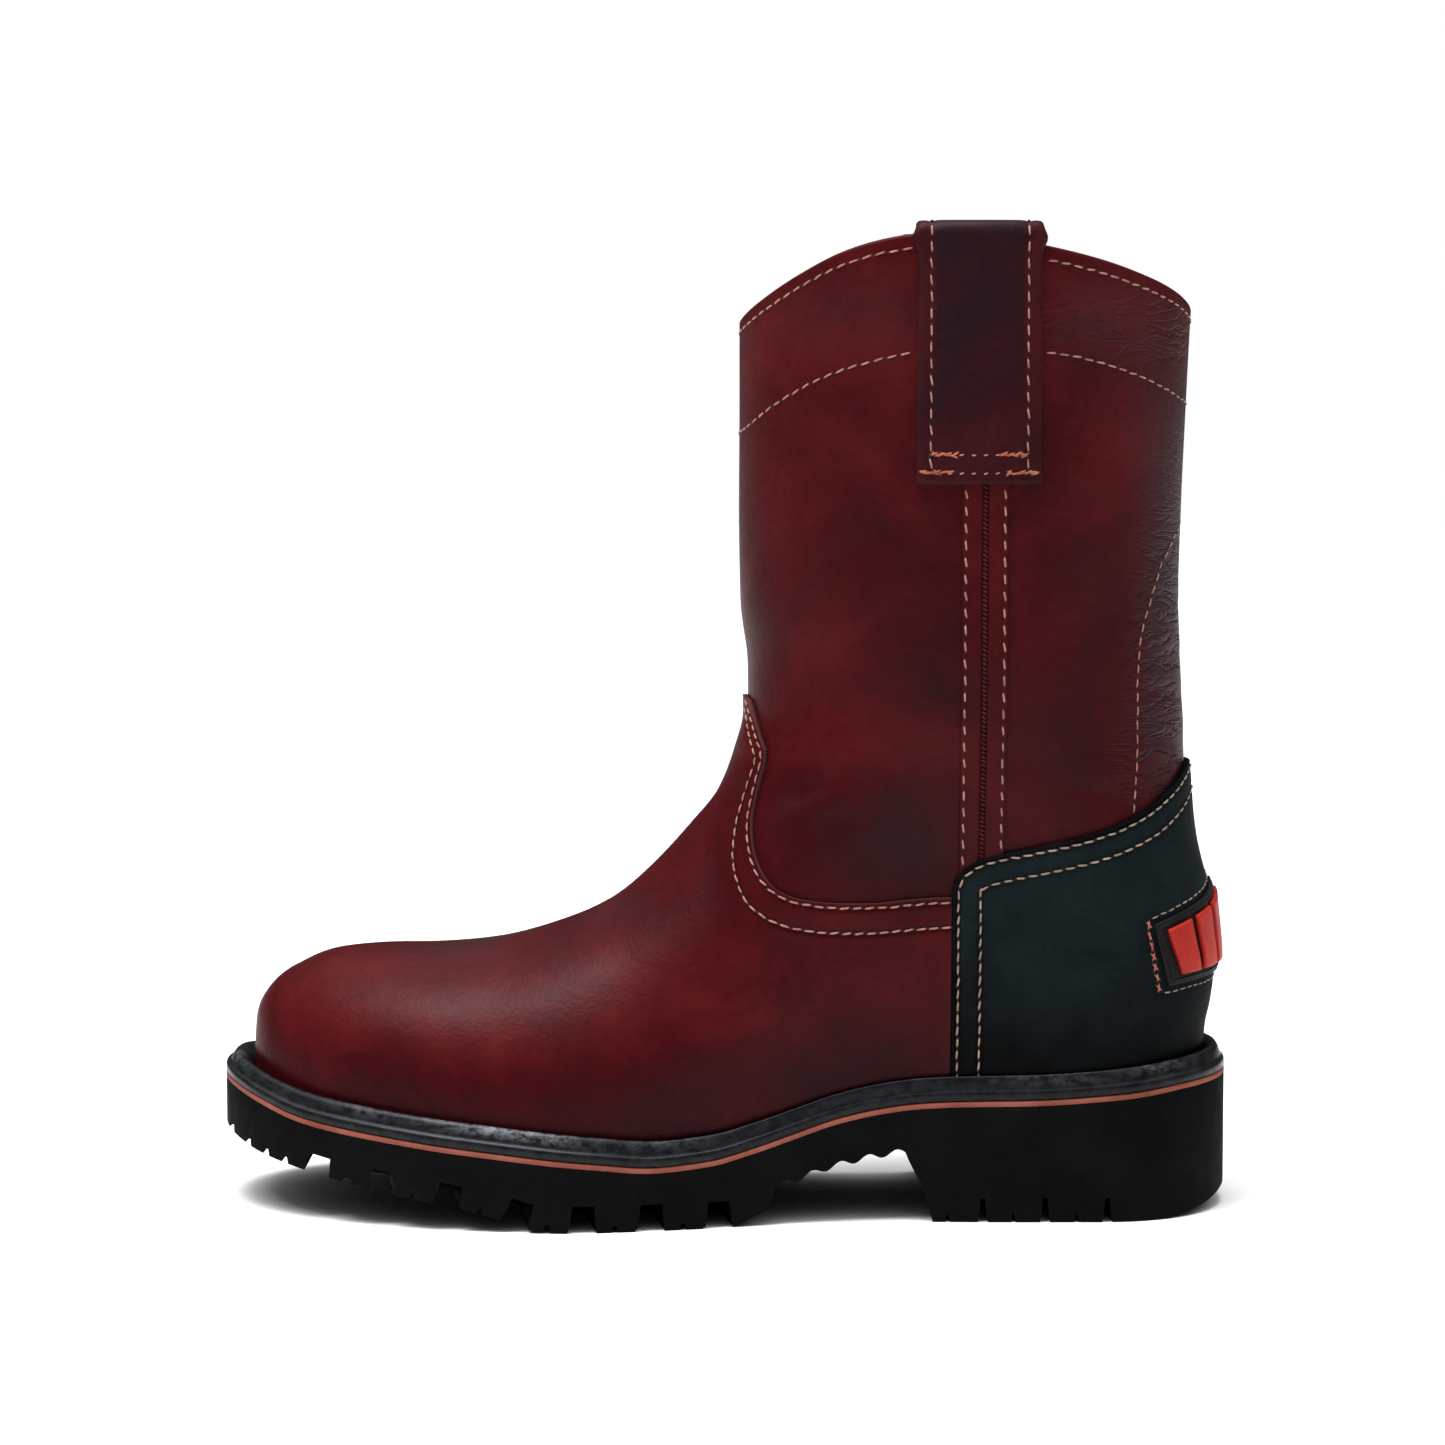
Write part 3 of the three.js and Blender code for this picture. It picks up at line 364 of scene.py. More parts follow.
def half_and_middle(level, x, up):
    along = along_of(x)
    leg, front, back = s_leg(level), s_front(level), s_back(level)
    reach = mix(HEEL_REACH, WELT_REACH, smooth(HEEL_REACH_END, WELT_REACH_START, along))
    height = np.clip(up / ridge_at(x), 0, 1)
    toe = smooth(INSTEP_ZONE, TOE_ZONE, along)
    squareness = mix(INSTEP_SQUARENESS, TOE_SQUARENESS, toe)
    arch = (1 - height ** squareness) ** (1 / squareness)
    swell = 1 + swell_share(along) * np.sin(np.pi / 2 * np.clip(up / SWELL_HEIGHT, 0, 1))
    foot = (
        (base_half(along) - reach)
        * end_round(x - s_front(0.0), SOLE_TOE_ROUND - WELT_REACH, TOE_FULLNESS)
        * end_round(back - x, SOLE_HEEL_ROUND - HEEL_REACH, HEEL_FULLNESS)
        * arch * swell
    )
    radius = (back - front) / 2
    inside = np.clip(1 - ((x - (front + back) / 2) / radius) ** 2, 0, None)
    oval = LEG_WIDTH / 2 * np.sqrt(inside)
    middle = (swing(x) + RIDGE_SHIFT * height * height) * (1 - leg)
    return mix(foot, oval, leg), middle


def last_point(level, turn):
    """A point of the last. turn runs from the front (0) to the back (pi), + for the inner side."""
    level, turn = np.broadcast_arrays(np.asarray(level, float), np.asarray(turn, float))
    share = (1 - np.cos(turn)) / 2
    x = mix(s_front(level), s_back(level), share)
    up = mix(s_up(level), s_back_up(level), share)
    grown = COLLAR_ARCH * np.abs(np.sin(turn)) ** COLLAR_ROUND
    grown = grown * s_climb(level) ** COLLAR_GROWTH
    half, middle = half_and_middle(level, x, up)
    side = np.sign(np.sin(turn))
    return np.stack([x, middle + side * half, seat(x) + up + grown], -1)


def normal_at(level, turn):
    level, turn = np.broadcast_arrays(np.asarray(level, float), np.asarray(turn, float))
    up = last_point(np.minimum(TOP, level + NUDGE), turn)
    up = up - last_point(np.maximum(0, level - NUDGE), turn)
    on = last_point(level, turn + NUDGE) - last_point(level, turn - NUDGE)
    normal = -np.cross(on, up)
    normal[..., 2] *= smooth(0, 0.3, np.minimum(level, TOP - level))
    return unit(normal)


# Creases in the leather: x, z, slope, length, width, depth. The outer side, then the inner.
CREASES = {
    -1: [
        (104, 266.5, 0.06, 13, 1.6, 0.5), (118, 268.5, 0.22, 10, 1.4, 0.35),
        (98, 263.0, -0.05, 9, 1.5, 0.4), (110, 261.5, 0.1, 12, 1.8, 0.3),
        (128, 196, -0.5, 14, 2.2, 0.35), (133, 184, -0.45, 12, 2.0, 0.4),
        (126, 178, -0.55, 10, 2.0, 0.25), (134, 168, -0.4, 12, 2.2, 0.4),
        (131, 157, -0.3, 13, 2.0, 0.35), (127, 148, -0.35, 10, 2.2, 0.25),
        (134, 142, -0.2, 12, 2.0, 0.3), (101, 214, 0.15, 16, 3.0, 0.3),
        (22, 128, 0.35, 18, 3.5, 0.5), (30, 119, 0.3, 16, 3.5, 0.4),
        (16, 139, 0.45, 14, 3.0, 0.35), (90, 138, -0.2, 16, 4.0, 0.4),
        (108, 129, -0.25, 15, 3.5, 0.4),
        (40, 200, 0.9, 20, 6.0, 0.35), (112, 230, -0.9, 18, 5.0, 0.3),
    ],
    1: [
        (108, 264, 0.1, 15, 1.7, 0.45), (96, 258, -0.1, 11, 1.6, 0.35),
        (121, 255, 0.2, 9, 1.6, 0.3),
        (130, 188, -0.45, 14, 2.2, 0.4), (127, 173, -0.4, 12, 2.2, 0.35),
        (132, 160, -0.3, 13, 2.0, 0.4), (129, 146, -0.2, 11, 2.2, 0.3),
        (20, 131, 0.35, 18, 3.5, 0.5), (29, 121, 0.3, 15, 3.5, 0.4),
        (97, 134, -0.25, 17, 4.0, 0.45), (46, 215, 0.8, 20, 6.0, 0.35),
        (106, 222, -0.8, 18, 5.0, 0.3), (60, 150, 0.2, 18, 5.0, 0.3),
    ],
}
CREASE_DEPTH = 1.5
CREASE_LIP = 0.4
CREASE_LIP_AT = 1.7
WAVE_HEIGHT = 0.22
WAVE_FROM, WAVE_FULL = 60, 110
SMOOTH_LEVELS_AT_COLLAR = 1.2


def relief(point, side, level):
    """How far the leather dips at its creases, and its slow waves."""
    x, z = point[..., 0], point[..., 2]
    dip = WAVE_HEIGHT * np.sin(x / 17 + 0.6 * side) * np.sin(z / 23 + 0.03 * x)
    dip = dip * smooth(WAVE_FROM, WAVE_FULL, z)
    for way, creases in CREASES.items():
        share = np.where(side * way > 0, 1.0, 0.0)
        for cx, cz, slope, length, width, depth in creases:
            depth = depth * CREASE_DEPTH
            u = ((x - cx) + (z - cz) * slope) / math.hypot(1, slope)
            v = ((z - cz) - (x - cx) * slope) / math.hypot(1, slope)
            v = v + 0.05 * u * np.sin(u / 4 + cx)
            along = -(u / length) ** 2 * 2
            lip = (v - CREASE_LIP_AT * width) / width
            dip = dip - share * depth * np.exp(along - (v / width) ** 2)
            dip = dip + share * CREASE_LIP * depth * np.exp(along - lip ** 2)
    return dip * smooth(TOP, TOP - SMOOTH_LEVELS_AT_COLLAR, level)


def surface(level, turn, offset=0.0):
    """A point of the leather's outside, moved out along its normal."""
    level, turn, offset = np.broadcast_arrays(
        np.asarray(level, float), np.asarray(turn, float), np.asarray(offset, float)
    )
    point = last_point(level, turn)
    fold = relief(point, np.sin(turn), level) * np.abs(np.sin(turn)) ** 0.5
    return point + normal_at(level, turn) * (offset + fold)[..., None]


def turn_at(level, x):
    share = np.clip((x - s_front(level)) / (s_back(level) - s_front(level)), 0, 1)
    return np.arccos(1 - 2 * share)


def find_level(is_below, shape):
    """Level up to which is_below holds, found by halving."""
    low, high = np.zeros(shape), np.full(shape, float(TOP))
    for _ in range(HALVINGS):
        level = (low + high) / 2
        below = is_below(level)
        low, high = np.where(below, level, low), np.where(below, high, level)
    return (low + high) / 2


def level_at(x, z):
    """Level of the surface at a place in the side view."""
    x, z = np.broadcast_arrays(np.asarray(x, float), np.asarray(z, float))

    def is_below(level):
        return last_point(level, turn_at(level, x))[..., 2] < z

    return find_level(is_below, x.shape)


def side_point(x, z, side, offset=0.0):
    level = level_at(x, z)
    return surface(level, side * turn_at(level, x), offset)


def edge_points(rows):
    x = np.array([r[0] for r in rows]) * SOLE_LENGTH
    return x, seat(x) + np.array([r[1] for r in rows]) * INSTEP_HEIGHT


def resample(points, count=None, pitch=None):
    """Points at equal steps along a polyline."""
    points = np.asarray(points, float)
    lengths = lengths_along(points)
    if count is None:
        count = max(2, int(round(lengths[-1] / pitch)) + 1)
    at = np.linspace(0, lengths[-1], count)
    return np.stack([np.interp(at, lengths, points[:, k]) for k in range(points.shape[1])], -1)


def rounded(points, fineness=12):
    """A polyline through the points with smooth bends (centripetal Catmull-Rom)."""
    p = np.asarray(points, float)
    p = np.concatenate([[2 * p[0] - p[1]], p, [2 * p[-1] - p[-2]]])
    out = []
    for i in range(1, len(p) - 2):
        t = [0.0]
        for k in range(3):
            t.append(t[-1] + max(np.linalg.norm(p[i + k] - p[i + k - 1]), 1e-6) ** 0.5)
        for u in np.linspace(t[1], t[2], fineness, endpoint=False):
            a = [
                ((t[k + 1] - u) * p[i - 1 + k] + (u - t[k]) * p[i + k]) / (t[k + 1] - t[k])
                for k in range(3)
            ]
            b = [
                ((t[k + 2] - u) * a[k] + (u - t[k]) * a[k + 1]) / (t[k + 2] - t[k])
                for k in range(2)
            ]
            out.append(((t[2] - u) * b[0] + (u - t[1]) * b[1]) / (t[2] - t[1]))
    out.append(p[-2])
    return np.array(out)


def nearest_on(points, level, turn):
    """Level and turn of the surface's places nearest to some points."""
    for _ in range(7):
        low, high = np.maximum(level - FINE_NUDGE, 0), np.minimum(level + FINE_NUDGE, TOP)
        up = (last_point(high, turn) - last_point(low, turn)) / (high - low)[..., None]
        on = last_point(level, turn + FINE_NUDGE) - last_point(level, turn - FINE_NUDGE)
        on = on / (2 * FINE_NUDGE)
        gap = points - last_point(level, turn)
        a, b, c = (np.sum(u * v, -1) for u, v in ((up, up), (up, on), (on, on)))
        p, q = np.sum(up * gap, -1), np.sum(on * gap, -1)
        det = np.maximum(a * c - b * b, 1e-9)
        level = np.clip(level + np.clip((c * p - b * q) / det, -0.4, 0.4), 0, TOP)
        turn = turn + np.clip((a * q - b * p) / det, -0.2, 0.2)
    return level, turn


def row_inside(level, turn, distance):
    """A row of places at a distance below and inside a panel's edge."""
    edge = last_point(level, turn)
    across = np.cross(normal_at(level, turn), unit(np.gradient(edge, axis=0)))
    if across[:, 2].mean() > 0:
        across = -across
    new_level, new_turn = nearest_on(edge + across * distance[:, None], level, turn)
    gap = np.linalg.norm(last_point(new_level, new_turn)[:, None] - edge[None], axis=2).min(1)
    keep = (gap > distance * 0.97) & (new_turn * np.sign(turn[len(turn) // 2]) > 0.01)
    return new_level[keep], new_turn[keep]


def distance_to(points, lines):
    """Distance of each point of a grid from the nearest of some rows of points."""
    flat = points.reshape(-1, 3)
    rows = np.concatenate([resample(line, pitch=0.6) for line in lines])
    tree = kdtree.KDTree(len(rows))
    for i, row in enumerate(rows):
        tree.insert(row, i)
    tree.balance()
    return np.array([tree.find(p)[2] for p in flat]).reshape(points.shape[:-1])


# Meshes
def add_mesh(name, points, faces, materials, indices=None):
    mesh = bpy.data.meshes.new(name)
    mesh.from_pydata((np.asarray(points, float).reshape(-1, 3) / MM).tolist(), [], faces)
    for material in materials:
        mesh.materials.append(material)
    if indices is not None:
        mesh.polygons.foreach_set("material_index", indices)
    mesh.update()
    mesh.shade_smooth()
    piece = bpy.data.objects.new(name, mesh)
    bpy.context.scene.collection.objects.link(piece)
    return piece


def grid_faces(rows, columns, start=0, around=False):
    r, c = np.meshgrid(
        np.arange(rows - 1), np.arange(columns if around else columns - 1), indexing="ij"
    )
    nxt = (c + 1) % columns
    quads = np.stack([
        r * columns + c, r * columns + nxt, (r + 1) * columns + nxt, (r + 1) * columns + c
    ], -1)
    return (quads.reshape(-1, 4) + start).tolist()


def outward(piece):
    bm = bmesh.new()
    bm.from_mesh(piece.data)
    bmesh.ops.recalc_face_normals(bm, faces=bm.faces)
    if bm.calc_volume(signed=True) < 0:
        bmesh.ops.reverse_faces(bm, faces=bm.faces)
    bm.to_mesh(piece.data)
    bm.free()
    return piece


def slab(name, outer, inner, materials, inner_index=0, wall_index=0):
    """A closed sheet between two grids of points with the same rows and columns."""
    rows, columns = outer.shape[:2]
    size = rows * columns
    points = np.concatenate([outer.reshape(-1, 3), inner.reshape(-1, 3)])
    top = grid_faces(rows, columns)
    under = [quad[::-1] for quad in grid_faces(rows, columns, size)]
    rim = [r * columns for r in range(rows)]
    rim += [(rows - 1) * columns + c for c in range(1, columns)]
    rim += [r * columns + columns - 1 for r in range(rows - 2, -1, -1)]
    rim += [c for c in range(columns - 2, 0, -1)]
    wall = [[a, b, b + size, a + size] for a, b in zip(rim, rim[1:] + rim[:1])]
    indices = [0] * len(top) + [inner_index] * len(under) + [wall_index] * len(wall)
    piece = outward(add_mesh(name, points, top + under + wall, materials, indices))
    on_rim = np.zeros(2 * size, bool)
    on_rim[rim] = True
    mesh = piece.data
    ends = np.empty(2 * len(mesh.edges), int)
    mesh.edges.foreach_get("vertices", ends)
    ends = ends.reshape(-1, 2)
    weight = mesh.attributes.new("bevel_weight_edge", "FLOAT", "EDGE")
    weight.data.foreach_set("value", np.where(on_rim[ends].all(1), 1.0, 0.0))
    return piece


def tube(name, rings, materials, caps=True, indices=None):
    """A closed body from rings of points; every ring is a closed loop."""
    rings = np.asarray(rings)
    count, size = rings.shape[:2]
    faces = grid_faces(count, size, around=True)
    if caps:
        faces += [list(range(size))[::-1], [(count - 1) * size + k for k in range(size)]]
    else:
        faces += [
            [(count - 1) * size + k, (count - 1) * size + (k + 1) % size, (k + 1) % size, k]
            for k in range(size)
        ]
    return outward(add_mesh(name, rings.reshape(-1, 3), faces, materials, indices))


def bevel(piece, width, segments=3, angle=None, material=-1):
    modifier = piece.modifiers.new("bevel", "BEVEL")
    modifier.material = material
    modifier.width = width / MM
    modifier.segments = segments
    modifier.limit_method = "ANGLE" if angle else "WEIGHT"
    if angle:
        modifier.angle_limit = math.radians(angle)
    modifier.harden_normals = False


def store(piece, name, values):
    """Keeps a number for each vertex, which the materials read by its name."""
    attribute = piece.data.attributes.new(name, "FLOAT", "POINT")
    attribute.data.foreach_set("value", values)


def finish_piece(piece, nodes=()):
    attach(piece, "root")
    if nodes:
        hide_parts(*nodes)
    return piece


# Materials
BLACK, WHITE = (0, 0, 0), (1, 1, 1)
# Grey of a painted sheen, which stands in for the leather's grazing reflection
PAINTED_SHEEN = (0.042, 0.022, 0.025)
DUST = (0.25, 0.24, 0.23)
# Light grey of scuffs, which on the welt also stands in for a painted highlight
SCUFF_AND_HIGHLIGHT_GREY = (0.16, 0.165, 0.19)


def new_material(name):
    material = bpy.data.materials.new(name)
    material.use_nodes = True
    nodes = material.node_tree.nodes
    shader = nodes["Principled BSDF"]
    return material, nodes, material.node_tree.links, shader


def object_place(nodes):
    return nodes.new("ShaderNodeTexCoord").outputs["Object"]


def stored(nodes, name):
    """The number that store() kept for each vertex."""
    node = nodes.new("ShaderNodeAttribute")
    node.attribute_name = name
    return node.outputs["Fac"]


def link_noise(nodes, links, scale, detail=4.0, rough=0.55, distortion=0.0, stretch=None):
    noise = nodes.new("ShaderNodeTexNoise")
    noise.inputs["Scale"].default_value = scale
    noise.inputs["Detail"].default_value = detail
    noise.inputs["Roughness"].default_value = rough
    noise.inputs["Distortion"].default_value = distortion
    place = object_place(nodes)
    if stretch:
        mapping = nodes.new("ShaderNodeMapping")
        mapping.inputs["Scale"].default_value = stretch
        links.new(place, mapping.inputs["Vector"])
        place = mapping.outputs["Vector"]
    links.new(place, noise.inputs["Vector"])
    return noise.outputs["Fac"]


def ramp(nodes, links, source, stops):
    node = nodes.new("ShaderNodeValToRGB")
    while len(node.color_ramp.elements) > 1:
        node.color_ramp.elements.remove(node.color_ramp.elements[-1])
    for i, (place, color) in enumerate(stops):
        stop = node.color_ramp.elements[0] if i == 0 else node.color_ramp.elements.new(place)
        stop.position = place
        stop.color = (*color, 1)
    links.new(source, node.inputs["Fac"])
    return node.outputs["Color"]


def math_node(nodes, links, kind, a, b):
    node = nodes.new("ShaderNodeMath")
    node.operation = kind
    for socket, value in zip(node.inputs, (a, b)):
        if isinstance(value, (int, float)):
            socket.default_value = value
        else:
            links.new(value, socket)
    return node.outputs["Value"]


def blend_color(nodes, links, share, a, b, kind="MIX"):
    node = nodes.new("ShaderNodeMix")
    node.data_type = "RGBA"
    node.blend_type = kind
    for name, kind_of, value in (("Factor", "VALUE", share), ("A", "RGBA", a), ("B", "RGBA", b)):
        socket = [s for s in node.inputs if s.name == name and s.type == kind_of][0]
        if isinstance(value, tuple):
            socket.default_value = (*value, 1)
        elif isinstance(value, (int, float)):
            socket.default_value = value
        else:
            links.new(value, socket)
    return [s for s in node.outputs if s.type == "RGBA"][0]


def add_bump(nodes, links, shader, height, strength, distance, before=None):
    node = nodes.new("ShaderNodeBump")
    node.inputs["Strength"].default_value = strength
    node.inputs["Distance"].default_value = distance / MM
    links.new(height, node.inputs["Height"])
    if before is not None:
        links.new(before, node.inputs["Normal"])
    links.new(node.outputs["Normal"], shader.inputs["Normal"])
    return node.outputs["Normal"]


def grain(nodes, links, scale):
    cells = nodes.new("ShaderNodeTexVoronoi")
    cells.inputs["Scale"].default_value = scale
    cells.feature = "SMOOTH_F1"
    links.new(object_place(nodes), cells.inputs["Vector"])
    return cells.outputs["Distance"]


def leather(name, dark, mid, light, spot_scale, rough, grain_scale=900.0, bump=0.25,
            specular=0.35):
    """Oiled leather: mottled colour with painted shade, light and sheen, fine grain and soft gloss.
    """
    material, nodes, links, shader = new_material(name)
    mottle = link_noise(nodes, links, spot_scale, detail=6, rough=0.6, distortion=0.4)
    level = math_node(nodes, links, "SUBTRACT", mottle, stored(nodes, "shade"))
    folds = link_noise(nodes, links, 62.0, detail=3, rough=0.5, distortion=0.7, stretch=(1, 1, 4.2))
    lines = ramp(nodes, links, folds, [(0.43, BLACK), (0.5, WHITE), (0.57, BLACK)])
    lines = math_node(nodes, links, "MULTIPLY", lines, stored(nodes, "wrinkle"))
    # Painted shade in the wrinkle lines
    wrinkle_shade = math_node(nodes, links, "MULTIPLY", lines, 0.2)
    level = math_node(nodes, links, "SUBTRACT", level, wrinkle_shade)
    color = ramp(nodes, links, level, [(0.12, dark), (0.42, mid), (0.72, light)])
    fine = link_noise(nodes, links, 420.0, detail=3, rough=0.6)
    speck = ramp(nodes, links, fine, [(0.3, (0.8, 0.8, 0.8)), (0.7, WHITE)])
    # Painted sheen: the colour is mixed towards grey where a grazing reflection would be
    color = blend_color(nodes, links, stored(nodes, "painted_sheen"), color, PAINTED_SHEEN)
    color = blend_color(nodes, links, 1.0, color, speck, "MULTIPLY")
    links.new(color, shader.inputs["Base Color"])
    wear = link_noise(nodes, links, 60.0, detail=5, rough=0.6)
    gloss = math_node(nodes, links, "MULTIPLY", wear, 0.25)
    gloss = math_node(nodes, links, "ADD", gloss, rough - 0.12)
    links.new(gloss, shader.inputs["Roughness"])
    shader.inputs["Specular IOR Level"].default_value = specular
    cells = grain(nodes, links, grain_scale)
    first = add_bump(nodes, links, shader, cells, bump, 0.25)
    waves = link_noise(nodes, links, 130.0, detail=4, rough=0.55)
    second = add_bump(nodes, links, shader, waves, 0.2, 0.8, before=first)
    sunk = math_node(nodes, links, "MULTIPLY", lines, -1.0)
    add_bump(nodes, links, shader, sunk, 0.9, 0.6, before=second)
    return material


def rubber(name, dark, light, rough, specular, bump=0.3, dust=0.0, scuffed_and_lit=False):
    """Moulded rubber with fine texture, scuffs that also paint a highlight on the welt, and a
    little dust.
    """
    material, nodes, links, shader = new_material(name)
    patches = link_noise(nodes, links, 45.0, detail=6, rough=0.65)
    color = ramp(nodes, links, patches, [(0.35, dark), (0.7, light)])
    if dust:
        specks = link_noise(nodes, links, 900.0, detail=4, rough=0.7)
        mask = ramp(nodes, links, specks, [(0.6, BLACK), (0.78, (dust, dust, dust))])
        color = blend_color(nodes, links, mask, color, DUST)
    if scuffed_and_lit:
        streaks = link_noise(nodes, links, 260.0, detail=8, rough=0.75, stretch=(1, 1, 1.6))
        mask = ramp(nodes, links, streaks, [(0.42, BLACK), (0.62, WHITE)])
        mask = math_node(nodes, links, "MULTIPLY", mask, stored(nodes, "shade"))
        color = blend_color(nodes, links, mask, color, SCUFF_AND_HIGHLIGHT_GREY)
    links.new(color, shader.inputs["Base Color"])
    scuffs = link_noise(nodes, links, 160.0, detail=5, rough=0.7)
    gloss = math_node(nodes, links, "MULTIPLY", scuffs, 0.4)
    gloss = math_node(nodes, links, "ADD", gloss, rough - 0.2)
    links.new(gloss, shader.inputs["Roughness"])
    shader.inputs["Specular IOR Level"].default_value = specular
    first = add_bump(nodes, links, shader, scuffs, bump, 0.3)
    pores = link_noise(nodes, links, 1400.0, detail=2)
    add_bump(nodes, links, shader, pores, 0.15, 0.15, before=first)
    return material


def thread_material(name, dark, light, sheen=0.15):
    material, nodes, links, shader = new_material(name)
    tint = link_noise(nodes, links, 300.0, detail=2)
    links.new(ramp(nodes, links, tint, [(0.3, dark), (0.7, light)]), shader.inputs["Base Color"])
    shader.inputs["Roughness"].default_value = 0.6
    shader.inputs["Sheen Weight"].default_value = sheen
    shader.inputs["Specular IOR Level"].default_value = 0.15
    wave = nodes.new("ShaderNodeTexWave")
    wave.inputs["Scale"].default_value = 900.0
    links.new(object_place(nodes), wave.inputs["Vector"])
    add_bump(nodes, links, shader, wave.outputs["Fac"], 0.4, 0.15)
    return material


OXBLOOD = leather(
    "oxblood_leather", (0.019, 0.0026, 0.0038), (0.042, 0.0026, 0.0038), (0.078, 0.0052, 0.0066),
    24.0, 0.4, specular=0.055,
)
STRAP_LEATHER = leather(
    "strap_leather", (0.012, 0.0054, 0.0086), (0.024, 0.004, 0.006), (0.05, 0.006, 0.0065),
    30.0, 0.45, specular=0.055,
)
CUT_EDGE = leather(
    "cut_edge", (0.035, 0.009, 0.01), (0.065, 0.022, 0.022), (0.09, 0.036, 0.034),
    40.0, 0.6, specular=0.05,
)
NUBUCK = leather(
    "counter_nubuck", (0.0016, 0.0017, 0.0019), (0.0042, 0.0066, 0.0078), (0.0078, 0.0135, 0.0158),
    34.0, 0.65, grain_scale=1500.0, bump=0.15, specular=0.03,
)
OUTSOLE_RUBBER = rubber(
    "outsole_rubber", (0.002, 0.002, 0.0023), (0.0042, 0.0043, 0.0047), 0.7, 0.035, dust=0.02,
)
WELT_RUBBER = rubber(
    "welt_rubber", (0.002, 0.0024, 0.003), (0.005, 0.006, 0.0076), 0.34, 0.12, scuffed_and_lit=True,
)
MIDSOLE_RUBBER = rubber("midsole_rubber", (0.16, 0.042, 0.028), (0.32, 0.1, 0.07), 0.6, 0.1)
BADGE_RUBBER = rubber("badge_rubber", (0.004, 0.003, 0.003), (0.009, 0.006, 0.006), 0.6, 0.12)
BADGE_ORANGE = rubber(
    "badge_orange", (0.3, 0.012, 0.006), (0.42, 0.022, 0.011), 0.5, 0.15, bump=0.12,
)
LINING = leather(
    "lining_textile", (0.03, 0.022, 0.018), (0.055, 0.042, 0.034), (0.08, 0.062, 0.05),
    60.0, 0.85, grain_scale=2200.0, bump=0.5,
)
FOOTBED = leather(
    "footbed_textile", (0.012, 0.011, 0.01), (0.022, 0.02, 0.018), (0.04, 0.036, 0.032),
    60.0, 0.85, grain_scale=2200.0, bump=0.5,
)
TAN_THREAD = thread_material("tan_thread", (0.19, 0.125, 0.085), (0.36, 0.25, 0.18))
SALMON_THREAD = thread_material("salmon_thread", (0.24, 0.09, 0.065), (0.42, 0.19, 0.145))
ORANGE_THREAD = thread_material("orange_thread", (0.28, 0.05, 0.025), (0.45, 0.13, 0.075))
SEAM_THREAD = thread_material("seam_thread", (0.03, 0.002, 0.003), (0.08, 0.006, 0.007), sheen=0.0)
# Near-black painted shade for the needle holes, put on small cones at the stitches' ends
NEEDLE_HOLE_SHADE, _, _, hole_shade_shader = new_material("needle_hole_shade")
hole_shade_shader.inputs["Base Color"].default_value = (0.01, 0.005, 0.004, 1)
hole_shade_shader.inputs["Roughness"].default_value = 0.9

# Darker places of the red leather: x, z, reach along x, reach along z, strength
# Painted shade where the strength is above 0 and painted light where it is below 0
SHADE_AND_LIGHT_PLACES = [
    (-72, 92, 26, 9, 0.2), (-86, 80, 14, 7, 0.2), (-112, 42, 22, 14, 0.16),
    (-30, 92, 24, 12, 0.12), (-20, 40, 60, 9, 0.1), (30, 44, 30, 10, 0.12), (22, 54, 22, 14, 0.12),
    (24, 122, 14, 26, 0.2), (60, 100, 26, 12, 0.14), (40, 110, 20, 12, 0.12),
    (52, 118, 16, 16, 0.2), (64, 172, 22, 26, 0.18), (58, 142, 14, 12, -0.1),
    (40, 215, 22, 14, 0.1), (40, 199, 18, 14, 0.06), (36, 238, 20, 12, 0.07),
    (106, 176, 12, 26, 0.12), (108, 148, 13, 14, 0.22), (136, 190, 9, 60, 0.24),
    (104, 132, 20, 12, 0.16), (98, 232, 9, 18, 0.08), (10, 190, 8, 50, 0.1),
    (94, 170, 8, 30, 0.05), (-118, 62, 22, 14, -0.16), (-60, 62, 26, 12, -0.12),
    (6, 66, 20, 12, -0.06), (30, 168, 14, 26, -0.1), (110, 222, 15, 16, -0.26),
    (26, 262, 26, 12, -0.18), (114, 266, 20, 13, -0.17), (46, 66, 14, 18, -0.08),
]
# Places where a painted sheen greys the leather, standing in for its grazing reflection: x, z,
# reach along x, reach along z, strength
SHEEN_PLACES = [
    (133, 182, 10, 55, 0.65), (-84, 81, 17, 6, 0.55), (-40, 92, 20, 7, 0.2),
    (40, 268, 34, 12, 0.16), (116, 266, 20, 14, 0.32), (128, 236, 10, 22, 0.25),
    (107, 188, 10, 26, 0.12), (52, 116, 18, 12, 0.12),
]
# Places with fine wrinkles, bumped and darkened with painted shade in their lines: x, z, reach
# along x, reach along z, strength
WRINKLE_PLACES = [
    (112, 264, 20, 8, 1.0), (132, 170, 9, 34, 0.85), (128, 138, 11, 9, 0.9),
]
PLACES_MOVED_INSIDE = 9


def near_places(x, y, z, places):
    """Sum of soft blots round some places, moved back a little on the inner side."""
    total = np.zeros(len(x))
    shift = np.where(y > 0, PLACES_MOVED_INSIDE, 0)
    for cx, cz, rx, rz, strength in places:
        total += strength * np.exp(-((x - cx - shift) / rx) ** 2 - ((z - cz) / rz) ** 2)
    return total


def set_shade(piece, extra=None):
    """Stores the painted shade and light, painted sheen and wrinkles of each point of a leather
    piece.
    """
    count = len(piece.data.vertices)
    place = np.empty(count * 3)
    piece.data.vertices.foreach_get("co", place)
    x, y, z = place.reshape(-1, 3).T * MM
    shade = near_places(x, y, z, SHADE_AND_LIGHT_PLACES)
    if extra is not None:
        shade += extra
    for name, places in (("painted_sheen", SHEEN_PLACES), ("wrinkle", WRINKLE_PLACES)):
        store(piece, name, near_places(x, y, z, places))
    store(piece, "shade", shade)


